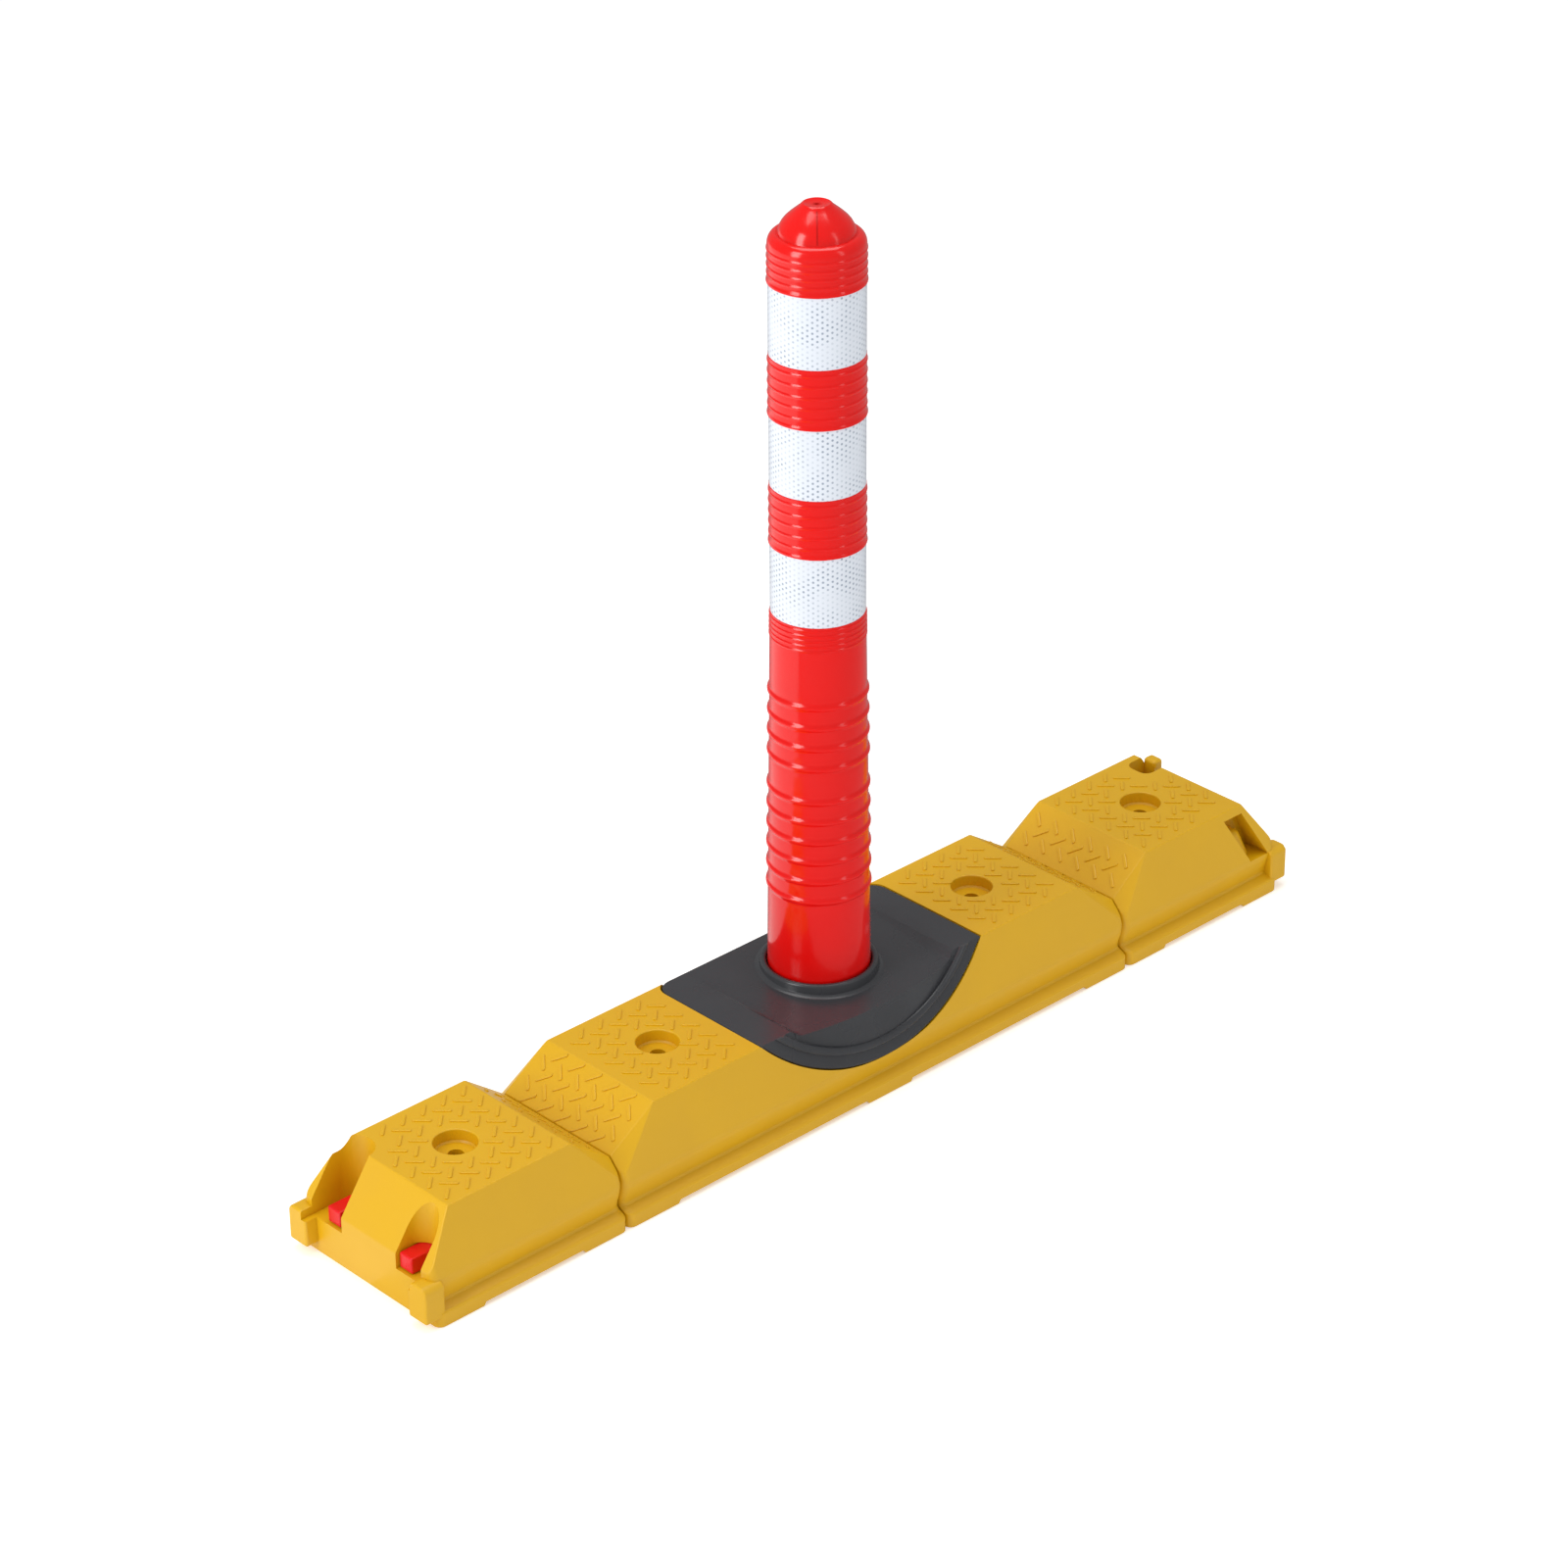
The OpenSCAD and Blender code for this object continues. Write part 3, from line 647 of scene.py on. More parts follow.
@dataclass
class KerbModule:
    """One moulded kerb module: a hollow shell with a tread pattern on its top."""

    name: str
    material: bpy.types.Material
    x0: float
    x1: float
    shape: KerbShape = field(default_factory=KerbShape)
    holes: tuple[float, ...] = ()

    def raise_body(self) -> bpy.types.Object:
        """Draws the section up from a flange block with rounded corners."""
        s = self.shape
        first_y, first_z = s.section[0]
        obj = add_block(self.name + "_shell", (self.x0, -first_y, 0), (self.x1, first_y, first_z))
        with editing(obj):
            select_edges(obj, is_upright)
            bpy.ops.mesh.bevel(offset=s.corner_r * MM, segments=5, affect="EDGES")
            top = first_z * MM
            select_faces(obj, lambda f: faces_up(f) and f.calc_center_median().z > top - MM)
            width, height = first_y, first_z
            for next_width, next_height in s.section[1:]:
                bpy.ops.mesh.extrude_region_move(
                    TRANSFORM_OT_translate={"value": (0, 0, (next_height - height) * MM)})
                centre = ((self.x0 + self.x1) / 2 * MM, 0, next_height * MM)
                bpy.ops.transform.resize(value=(1, next_width / width, 1), center_override=centre)
                width, height = next_width, next_height
        return obj

    def cut_ramp(self, obj: bpy.types.Object, x: float, run: float) -> None:
        """Slopes the top down to a seam at x, and trims the corners beside the slope.

        Args:
            obj: the module's shell.
            x: place of the seam face.
            run: length of the ramp; negative where it rises towards -X.
        """
        s = self.shape
        rise = s.top_z - s.seam_z
        slice_off(obj, (x, 0, s.seam_z), (-math.copysign(rise, run), 0, abs(run)))
        drop = s.seam_z - s.corner_trim_z
        out = s.side_at(s.corner_trim_z) - s.top_half
        for side in (-1, 1):
            slice_off(obj, (x, side * s.top_half, s.seam_z),
                      (-math.copysign(rise * out, run), side * abs(run) * drop, abs(run) * out))

    def cut_nose(self, obj: bpy.types.Object, end: float) -> None:
        """Slopes the top of the outer end.

        Args:
            obj: the module's shell.
            end: place of the end face.
        """
        s = self.shape
        slice_off(obj, (end, 0, s.nose_z), (math.copysign(s.top_z - s.nose_z, end), 0, s.nose_run))

    def round_edges(self, obj: bpy.types.Object) -> None:
        """Rounds the shell's edges: widely on the top, finely on the flange.

        Args:
            obj: the module's shell.
        """
        clean(obj)
        high = self.shape.nose_z * 0.9 * MM

        def share(edge: bmesh.types.BMEdge) -> float:
            """Share of the widest rounding for an edge."""
            if edge.calc_face_angle(0) < math.radians(28):
                return 0.0
            middle = (edge.verts[0].co + edge.verts[1].co) / 2
            return 1.0 if middle.z > high else 0.36

        soften(obj, 2.6, share, segments=3)

    def cut_holes(self, obj: bpy.types.Object) -> None:
        """Drills the anchor holes, each with a counterbore whose rim is rounded.

        Args:
            obj: the module's shell.
        """
        s = self.shape
        low = s.top_z - s.counterbore_depth
        r = s.counterbore_d / 2
        edge = 1.2
        turns = [math.radians(a) for a in (0, 30, 60, 90)]
        lip = [(r + edge - edge * math.cos(t), s.top_z - edge + edge * math.sin(t)) for t in turns]
        profile = [(0.01, low), (r - 1.5, low), (r, low + 1.5)] + lip
        profile += [(r + edge, s.top_z + 5), (0.01, s.top_z + 5)]
        for x in self.holes:
            combine(obj, turn_profile("counterbore", profile, 64, (x, 0, 0)), Operation.CUT)
            combine(obj, add_round("hole", s.hole_d / 2, (x, 0, -1), s.top_z, 32), Operation.CUT)

    def hollow_cell(self, x0: float, x1: float, side: int, top_z: float, top_y: float,
                    low_y: float = 72.0) -> bpy.types.Object:
        """A hollow under the module beside the middle rib, narrower at its top.

        Args:
            x0: its start along the kerb.
            x1: its end along the kerb.
            side: 1 towards +Y, -1 towards -Y.
            top_z: height of its ceiling.
            top_y: half width at the ceiling.
            low_y: half width below the height where it starts to narrow.

        Returns:
            The cutter.
        """
        inner = self.shape.rib / 2
        ys = sorted((side * inner, side * low_y))
        obj = add_block("cell", (x0, ys[0], -1), (x1, ys[1], 20))
        with editing(obj):
            select_faces(obj, faces_up)
            bpy.ops.mesh.extrude_region_move(
                TRANSFORM_OT_translate={"value": (0, 0, (top_z - 20) * MM)})
            ratio = (top_y - inner) / (low_y - inner)
            centre = (0, side * inner * MM, top_z * MM)
            bpy.ops.transform.resize(value=(1, ratio, 1), center_override=centre)
        return obj

    def spare_bosses(self, cutter: bpy.types.Object) -> None:
        """Leaves a round boss under each anchor hole.

        Args:
            cutter: the joined hollows, which lose the bosses' room.
        """
        radius = self.shape.counterbore_d / 2 + self.shape.wall
        for x in self.holes:
            combine(cutter, add_round("boss", radius, (x, 0, -5), 120, 48), Operation.CUT)

    def cut_bar_channels(self, obj: bpy.types.Object, x0: float, x1: float) -> None:
        """Cuts the pair of square channels that locking bars lie in.

        Args:
            obj: the module's shell.
            x0: start of the channels along the kerb.
            x1: end of the channels.
        """
        s = self.shape
        for side in (-1, 1):
            ys = sorted((side * (s.bar_y - s.bar_half), side * (s.bar_y + s.bar_half)))
            channel = add_block("channel", (x0, ys[0], s.bar_low), (x1, ys[1], s.bar_high))
            combine(obj, channel, Operation.CUT)

    def cut_drain(self, obj: bpy.types.Object, x0: float, x1: float) -> None:
        """Raises the underside between two feet, with sloping ends.

        Args:
            obj: the module's shell.
            x0: end of the foot on one side.
            x1: end of the foot on the other side.
        """
        height = self.shape.drain_z
        drain = add_block("drain", (x0, -100, -2), (x1, 100, height))
        with editing(drain):
            select_faces(drain, faces_up)
            ratio = (x1 - x0 - 2 * self.shape.drain_slope) / (x1 - x0)
            centre = ((x0 + x1) / 2 * MM, 0, height * MM)
            bpy.ops.transform.resize(value=(ratio, 1, 1), center_override=centre)
        combine(obj, drain, Operation.CUT)

    def tread_bar(self) -> bpy.types.Object:
        """Models one raised bar of the tread, lying along X at the origin."""
        bar = add_block("tread_bar", (-8.0, -1.5, -0.6), (8.0, 1.5, 0.8))
        with editing(bar):
            select_edges(bar, is_upright)
            bpy.ops.mesh.bevel(offset=1.3 * MM, segments=2, affect="EDGES")
            select_faces(bar, faces_up)
            bpy.ops.mesh.inset(thickness=0.7 * MM)
            bpy.ops.transform.translate(value=(0, 0, 0.3 * MM))
        return bar

    def lay_tread(self, obj: bpy.types.Object, start: Point, end: Point,
                  clear: Callable[[float, float], bool]) -> bpy.types.Object:
        """Lays tread bars on a strip of the top: crosswise rows whose slant alternates.

        Args:
            obj: the module's shell, which the bars are joined to.
            start: centre of the strip's start, in mm.
            end: centre of its end, in mm.
            clear: tells whether a bar may lie at x and y.

        Returns:
            The joined shell.
        """
        step = self.shape.tread_step
        along = Vector(end) - Vector(start)
        length = along.length
        along.normalize()
        across = Vector((0, 1, 0))
        up = along.cross(across)
        if up.z < 0:
            up = -up
        basis = Matrix((along, up.cross(along), up)).transposed().to_4x4()
        columns = int((length / 2 - 6.5) // step)
        rows = int((self.shape.top_half - 9) // step)
        bar = self.tread_bar()
        pieces = [obj]
        for row in range(-rows, rows + 1):
            turn = Matrix.Rotation(math.radians(45 if row % 2 else -45), 4, "Z")
            for column in range(-columns, columns + 1):
                place = Vector(start) + along * (length / 2 + column * step) + across * row * step
                if (row + column) % 2 or not clear(place.x, place.y):
                    continue
                copy = bpy.data.objects.new("bar", bar.data.copy())
                bpy.context.collection.objects.link(copy)
                copy.data.transform(Matrix.Translation(place * MM) @ basis @ turn)
                pieces.append(copy)
        bpy.data.objects.remove(bar)
        return join(pieces)

    def away_from_holes(self, x: float, y: float) -> bool:
        """Whether a tread bar at x and y stays clear of the counterbores."""
        reach = self.shape.counterbore_d / 2 + 8
        return all(math.hypot(x - hole, y) > reach for hole in self.holes)

    def finish(self, obj: bpy.types.Object, node: str) -> bpy.types.Object:
        """Dresses the shell and sets it on the kerb body in place of its node.

        Args:
            obj: the module's shell.
            node: the CAD node that it stands for.

        Returns:
            The shell.
        """
        dress(obj, self.material)
        smooth(obj)
        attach(obj, Body.KERB.value)
        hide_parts(node)
        return obj


@dataclass
class MiddleModule(KerbModule):
    """The middle module: ramps at both ends, and a recess and a well for the foot plate."""

    bar_depth: float = 32.0
    drain: tuple[float, float] = (24.0, 249.0)
    well_r: float = 63.0
    well_z: float = 12.0
    tread_start: float = 136.0

    def build(self, plate: "FootPlate") -> bpy.types.Object:
        """Models the module round the foot plate's outline.

        Args:
            plate: the foot plate that lies in its recess.

        Returns:
            The module.
        """
        s = self.shape
        obj = self.raise_body()
        for side in (-1, 1):
            self.cut_ramp(obj, side * s.middle_end, -side * s.middle_ramp)
        self.round_edges(obj)
        self.hollow_out(obj)
        self.cut_holes(obj)
        for side in (-1, 1):
            self.cut_bar_channels(obj, *sorted((side * (s.middle_end - self.bar_depth),
                                                side * (s.middle_end + 5))))
            self.cut_drain(obj, *sorted((side * self.drain[0], side * self.drain[1])))
        combine(obj, plate.recess(), Operation.CUT)
        combine(obj, add_round("well", self.well_r, (0, 0, self.well_z), 100, 96), Operation.CUT)
        return self.finish(self.lay_treads(obj), "middle_kerb")

    def hollow_out(self, obj: bpy.types.Object) -> None:
        """Hollows the underside into ribbed cells, clear of the well and the recess.

        Args:
            obj: the module's shell.
        """
        s = self.shape
        ceilings = ((77, 52), (77, 52), (87, 60), (28, 72))
        pitch = (s.middle_end - s.wall) / len(ceilings)
        cells = []
        for side in (-1, 1):
            for count, (top_z, top_y) in enumerate(ceilings):
                x = sorted((side * (count * pitch + s.rib / 2), side * ((count + 1) * pitch - s.rib / 2)))
                cells += [self.hollow_cell(x[0], x[1], across, top_z, top_y) for across in (-1, 1)]
        cutter = join(cells)
        well_wall = add_round("well_wall", self.well_r + s.wall, (0, 0, self.well_z - 6), 100, 96)
        combine(cutter, well_wall, Operation.CUT)
        self.spare_bosses(cutter)
        combine(obj, cutter, Operation.CUT)

    def lay_treads(self, obj: bpy.types.Object) -> bpy.types.Object:
        """Lays the tread on both tops and both ramps.

        Args:
            obj: the module's shell.

        Returns:
            The joined shell.
        """
        s = self.shape
        flat = s.middle_end - s.middle_ramp
        for side in (-1, 1):
            top = (side * self.tread_start, 0, s.top_z)
            brow = (side * (flat - 1), 0, s.top_z)
            foot = (side * s.middle_end, 0, s.seam_z)
            obj = self.lay_tread(obj, top, brow, self.away_from_holes)
            obj = self.lay_tread(obj, (side * (flat + 1), 0, s.top_z - 0.5), foot, self.away_from_holes)
        return obj


@dataclass
class EndModule(KerbModule):
    """An end module: a ramp at its seam and a sloping nose with two coupling ears."""

    ear_inner: float = 65.5
    ear_outer: float = 88.0
    ear_low: float = 8.0
    ear_high: float = 42.0
    ear_root: float = 9.0
    ear_corner: float = 4.0
    ear_round: float = 2.4
    bar_depth: float = 33.0
    foot_length: float = 46.0

    @property
    def side(self) -> int:
        """1 for the end at +X, -1 for the end at -X."""
        return 1 if self.x1 > 0 else -1

    def blank(self) -> bpy.types.Object:
        """Models the module's outside, before its slots or pockets are cut."""
        s = self.shape
        obj = self.raise_body()
        self.cut_ramp(obj, self.side * s.seam_start, self.side * s.end_ramp)
        self.cut_nose(obj, self.side * s.end_x)
        self.round_edges(obj)
        for across in (-1, 1):
            combine(obj, self.ear(across), Operation.ADD)
        return obj

    def ear(self, across: int) -> bpy.types.Object:
        """Models a coupling ear, rounded, at one outer corner of the end.

        Args:
            across: 1 for the ear at +Y, -1 for the one at -Y.

        Returns:
            The ear.
        """
        s = self.shape
        ys = sorted((across * self.ear_inner, across * self.ear_outer))
        xs = sorted((self.side * (s.end_x - self.ear_root), self.side * s.ear_end))
        ear = add_block("ear", (xs[0], ys[0], self.ear_low), (xs[1], ys[1], self.ear_high))
        corner_z = self.ear_high - self.ear_corner
        slice_off(ear, (0, across * self.ear_outer, corner_z), (0, across, 1))
        slice_off(ear, (0, across * 70, self.ear_high - 1), (0, -across * 0.5, 1))
        clean(ear)
        soften(ear, self.ear_round, lambda edge: 1.0, segments=3)
        return ear

    def hollow_out(self, obj: bpy.types.Object, outer_ceiling: float) -> None:
        """Hollows the underside into ribbed cells, low at the seam and at the outer end.

        Args:
            obj: the module's shell.
            outer_ceiling: height of the outermost cells' ceiling.
        """
        s = self.shape
        start = s.seam_start + s.wall
        pitch = (s.end_x - s.wall - start) / 3
        cells = []
        for count, (top_z, top_y) in enumerate(((28, 72), (87, 60), (outer_ceiling, 72))):
            x = sorted((self.side * (start + count * pitch + s.rib / 2),
                        self.side * (start + (count + 1) * pitch - s.rib / 2)))
            cells += [self.hollow_cell(x[0], x[1], across, top_z, top_y) for across in (-1, 1)]
        cutter = join(cells)
        self.spare_bosses(cutter)
        combine(obj, cutter, Operation.CUT)

    def cut_seam(self, obj: bpy.types.Object) -> None:
        """Cuts the channels at the seam, the anchor hole and the drain passage.

        Args:
            obj: the module's shell.
        """
        s = self.shape
        self.cut_bar_channels(obj, *sorted((self.side * (s.seam_start - 5),
                                            self.side * (s.seam_start + self.bar_depth))))
        self.cut_holes(obj)
        self.cut_drain(obj, *sorted((self.side * (s.seam_start + self.foot_length),
                                     self.side * (s.end_x - self.foot_length))))

    def lay_treads(self, obj: bpy.types.Object,
                   clear: Callable[[float, float], bool]) -> bpy.types.Object:
        """Lays the tread on the ramp and the top.

        Args:
            obj: the module's shell.
            clear: tells whether a bar may lie at x and y.

        Returns:
            The joined shell.
        """
        s = self.shape
        brow = s.seam_start + s.end_ramp
        obj = self.lay_tread(obj, (self.side * s.seam_start, 0, s.seam_z),
                             (self.side * (brow - 1), 0, s.top_z - 0.5), clear)
        return self.lay_tread(obj, (self.side * (brow + 1), 0, s.top_z),
                              (self.side * (s.end_x - s.nose_run), 0, s.top_z), clear)


@dataclass
class StartModule(EndModule):
    """The end module whose nose has a slot over each locking bar."""

    slots: tuple[tuple[float, float, float], ...] = ((-69.0, -37.0, 493.5), (32.5, 71.0, 477.0))
    outer_bar_depth: float = 72.0

    def build(self) -> bpy.types.Object:
        """Models the module and returns it."""
        obj = self.blank()
        self.hollow_out(obj, 28)
        self.cut_seam(obj)
        s = self.shape
        for low_y, high_y, x in self.slots:
            self.cut_slot(obj, low_y, high_y, x)
        self.cut_bar_channels(obj, -s.end_x - 5, -s.end_x + self.outer_bar_depth)
        obj = self.lay_treads(obj, self.clear_of_slots)
        return self.finish(obj, "start_kerb")

    def cut_slot(self, obj: bpy.types.Object, low_y: float, high_y: float, x: float) -> None:
        """Cuts a round-ended slot, open above and in front.

        Args:
            obj: the module.
            low_y: place of one wall of the slot.
            high_y: place of its other wall.
            x: distance of the round end's centre from the post.
        """
        s = self.shape
        r = (high_y - low_y) / 2
        y = (high_y + low_y) / 2
        cutter = add_round("slot", r, (-x, y, s.bar_low), 100, 48)
        front = add_block("slot_front", (-s.end_x - 20, low_y, s.bar_low),
                          (-x, high_y, s.bar_low + 100))
        combine(cutter, front, Operation.ADD)
        combine(obj, cutter, Operation.CUT)

    def clear_of_slots(self, x: float, y: float) -> bool:
        """Whether a tread bar at x and y stays clear of the anchor hole and the slots."""
        return self.away_from_holes(x, y) and not (x < -446 and y > 26)


@dataclass
class FarModule(EndModule):
    """The end module whose nose has two pockets for a neighbour's bars."""

    front_low: Point = (449, -120, 40)
    front_high: Point = (473, -53, 86)
    front_slant: float = 24.0
    tongue_low: Point = (469, -73, 36)
    tongue_high: Point = (487, -50, 68)
    tongue_lean: Point = (-12, 6, 0)
    rear_low: Point = (453, 31, 48)
    rear_high: Point = (480, 58, 150)
    mouth_start: float = 470.0
    lug_y: tuple[float, float] = (45.0, 60.0)
    lug_x: tuple[float, float] = (480.0, 492.0)

    def build(self) -> bpy.types.Object:
        """Models the module and returns it."""
        obj = self.blank()
        self.hollow_out(obj, 32)
        self.cut_seam(obj)
        combine(obj, self.front_pocket(), Operation.CUT)
        combine(obj, self.tongue(), Operation.ADD)
        combine(obj, self.rear_pocket(), Operation.CUT)
        combine(obj, self.lug(), Operation.ADD)
        obj = self.lay_treads(obj, self.clear_of_pockets)
        return self.finish(obj, "end_kerb")

    def front_pocket(self) -> bpy.types.Object:
        """Slanting pocket in the front side, nearly parallel to the nose."""
        pocket = add_block("front_pocket", self.front_low, self.front_high)
        with editing(pocket):
            select_faces(pocket, lambda f: f.normal.z < -0.9)
            bpy.ops.transform.translate(value=(self.front_slant * MM, 0, 0))
            select_edges(pocket, lambda e: is_upright(e) and e.verts[0].co.y > -60 * MM)
            bpy.ops.mesh.bevel(offset=5 * MM, segments=4, affect="EDGES")
        return pocket

    def tongue(self) -> bpy.types.Object:
        """Rounded tongue that leans against the inside of the front pocket."""
        tongue = add_block("tongue", self.tongue_low, self.tongue_high)
        with editing(tongue):
            select_faces(tongue, faces_up)
            bpy.ops.transform.translate(value=Vector(self.tongue_lean) * MM)
        soften(tongue, 6, lambda edge: 1.0, segments=4)
        return tongue

    def rear_pocket(self) -> bpy.types.Object:
        """Pocket in the rear top corner, open above and, beside the lug, through the nose."""
        pocket = add_block("rear_pocket", self.rear_low, self.rear_high)
        with editing(pocket):
            select_edges(pocket, lambda e: is_upright(e) and e.verts[0].co.x < 460 * MM)
            bpy.ops.mesh.bevel(offset=9 * MM, segments=5, affect="EDGES")
        mouth = add_block("mouth", (self.mouth_start, *self.rear_low[1:]),
                          (self.shape.end_x + 20, self.lug_y[0], self.rear_high[2]))
        combine(pocket, mouth, Operation.ADD)
        return pocket

    def lug(self) -> bpy.types.Object:
        """Rounded lug that stands at the mouth of the rear pocket."""
        lug = add_block("lug", (self.lug_x[0], self.lug_y[0], 40),
                        (self.lug_x[1], self.lug_y[1], self.shape.top_z - 2))
        soften(lug, 3.5, lambda edge: 1.0, segments=4)
        return lug

    def clear_of_pockets(self, x: float, y: float) -> bool:
        """Whether a tread bar at x and y stays clear of the anchor hole and the pockets."""
        return self.away_from_holes(x, y) and not (x > 442 and (y > 20 or y < -44))


# ---------------------------------------------------------------- locking bars


@dataclass
class LockBar:
    """A square locking bar with softened edges."""

    name: str
    body: Body
    material: bpy.types.Material
    edge_r: float = 1.6

    def build(self) -> bpy.types.Object:
        """Models the bar in its node's box and returns it."""
        low, high = box_mm(self.name)
        bar = add_block(self.name + "_moulding", tuple(low), tuple(high))
        soften(bar, self.edge_r, lambda edge: 1.0, segments=3)
        dress(bar, self.material)
        smooth(bar)
        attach(bar, self.body.value)
        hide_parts(self.name)
        return bar


# ---------------------------------------------------------------- foot plate


@dataclass
class FootPlate:
    """The black foot plate: wings, sunken deck, apron with a raised rim, and a flared collar."""

    material: bpy.types.Material
    half: float = 132.0
    rear_y: float = 67.5
    crease_y: float = -67.0
    top_z: float = 94.0
    thick: float = 9.0
    corner_r: float = 16.0
    apron_drop: float = 60.0
    deck_half: float = 94.0
    deck_fall: float = 0.0448
    deck_draft: float = 1.5
    rim_w: float = 13.0
    lip_y: float = -81.0
    lip_reach: float = 12.0
    bore_r: float = 45.6
    sleeve_r: float = 62.0
    sleeve_z: float = 34.0
    edge_r: float = 1.8
    gap: float = 1.0
    side_run: float = 16.5
    side_rise: float = 51.0

    @property
    def side_lean(self) -> float:
        """Lean of the kerb's side wall, in radians."""
        return math.atan2(self.side_run, self.side_rise)

    @property
    def apron_r(self) -> float:
        """Radius of the apron's outline."""
        half = self.half - 0.5
        return (half ** 2 + self.apron_drop ** 2) / (2 * self.apron_drop)

    def on_side(self, obj: bpy.types.Object) -> bpy.types.Object:
        """Stands an object drawn flat against the kerb's front side, and trims it at the crease.

        Args:
            obj: the object, drawn with +Z out of the side and +Y up along it.

        Returns:
            The same object.
        """
        obj.rotation_euler = (math.pi / 2 - self.side_lean, 0, 0)
        obj.location = (0, self.crease_y * MM, self.top_z * MM)
        settle(obj)
        up = (0, math.sin(self.side_lean), math.cos(self.side_lean))
        slice_off(obj, (0, self.crease_y, self.top_z), up)
        return obj

    def slab(self, grow: float, low_z: float, high_z: float, edge: float) -> bpy.types.Object:
        """The plate's flat part, with rounded rear corners.

        Args:
            grow: how far its outline lies outside the plate's.
            low_z: height of its underside.
            high_z: height of its top.
            edge: radius of its top edge; 0 leaves the edge sharp.

        Returns:
            The flat part.
        """
        x = self.half + grow
        slab = add_block("slab", (-x, self.crease_y, low_z), (x, self.rear_y + grow, high_z))
        with editing(slab):
            select_edges(slab, lambda e: is_upright(e) and e.verts[0].co.y > 0)
            bpy.ops.mesh.bevel(offset=self.corner_r * MM, segments=10, affect="EDGES")
        if edge:
            front = (self.crease_y + 1) * MM
            top = (high_z - 0.5) * MM
            soften(slab, edge, lambda e: float(min(v.co.z for v in e.verts) > top
                                               and max(v.co.y for v in e.verts) > front))
        return slab

    def apron(self, grow: float, low: float, high: float, edge: float) -> bpy.types.Object:
        """The round part that hangs over the front side.

        Args:
            grow: how far its outline lies outside the apron's.
            low: depth of its back behind the side; negative is inwards.
            high: how far its face stands out of the side.
            edge: radius of its outer edge; 0 leaves the edge sharp.

        Returns:
            The round part, in place.
        """
        r = self.apron_r + grow
        centre = self.apron_r - self.apron_drop
        profile = [(0.01, low), (r, low), (r, high - edge)]
        if edge:
            turns = [math.radians(a) for a in (30, 60, 90)]
            profile += [(r - edge * (1 - math.cos(t)), high - edge * (1 - math.sin(t))) for t in turns]
        else:
            profile += [(r, high)]
        profile += [(0.01, high)]
        return self.on_side(turn_profile("apron", profile, 240, (0, centre, 0)))

    def recess(self) -> bpy.types.Object:
        """Cutter for the kerb: the plate's outline with a narrow gap all round."""
        cutter = self.slab(self.gap, self.top_z - self.thick - self.gap, self.top_z + 45, 0)
        combine(cutter, self.apron(self.gap, -self.thick - self.gap, 45, 0), Operation.ADD)
        return cutter

    def lip(self) -> bpy.types.Object:
        """Upright bulge of the apron that carries the deck's front edge."""
        radius = (self.deck_half ** 2 + self.lip_reach ** 2) / (2 * self.lip_reach)
        lip = add_round("lip", radius, (0, self.lip_y + radius, 0), self.top_z, 720)
        keep = add_block("lip_keep", (-self.deck_half, -140, 0),
                         (self.deck_half, self.crease_y + 2, self.top_z - 0.5))
        combine(lip, keep, Operation.OVERLAP)
        combine(lip, self.apron(-self.rim_w - 4, 1 - self.thick, 45, 0), Operation.OVERLAP)
        clean(lip)
        return lip

    def rim(self) -> bpy.types.Object:
        """Rounded ridge inside the apron's outer band, with a groove left beside it."""
        centre = self.apron_r - self.apron_drop
        middle = self.apron_r - self.rim_w - 2.2
        half, rise, root = 4, 3.6, -3
        turns = [math.radians(a) for a in range(0, 181, 15)]
        bump = [(middle - half * math.cos(t), rise * math.sin(t)) for t in turns]
        profile = [(middle - half, root)] + bump + [(middle + half, root), (middle - half, root)]
        return self.on_side(turn_profile("rim", profile, 240, (0, centre, 0)))

    def deck_cutter(self) -> bpy.types.Object:
        """Everything above the deck, which falls from the rear edge to the front lip."""
        half = self.deck_half + 4
        cutter = add_block("above_deck", (-half, -150, self.top_z - 20),
                           (half, self.rear_y + 1, self.top_z + 20))
        with editing(cutter):
            for up, sign in ((0.9, 1), (-0.9, -1)):
                select_faces(cutter, lambda f, up=up, sign=sign: f.normal.z * sign > up * sign)
                ratio = (half + sign * 20 * self.deck_draft) / half
                bpy.ops.transform.resize(value=(ratio, 1, 1), center_override=(0, 0, 0))
        slice_off(cutter, (0, self.rear_y + 1, self.top_z), (0, self.deck_fall, -1))
        with editing(cutter):
            select_edges(cutter, lambda e: max(v.co.z for v in e.verts) < (self.top_z + 2) * MM
                         and abs(e.verts[0].co.y - e.verts[1].co.y) > 50 * MM)
            bpy.ops.mesh.bevel(offset=2.0 * MM, segments=3, affect="EDGES")
        return cutter

    def collar(self) -> bpy.types.Object:
        """Upright ring round the post with a rounded rim."""
        low, high = self.top_z - self.thick, self.top_z + 6
        turns = [math.radians(a) for a in range(0, 181, 20)]
        rim = [(48.9 - 2.9 * math.cos(t), high - 2.6 + 2.6 * math.sin(t)) for t in turns]
        profile = [(46.0, low)] + rim + [(52.4, high - 6), (53.2, low), (46.0, low)]
        return turn_profile("collar", profile, 128)

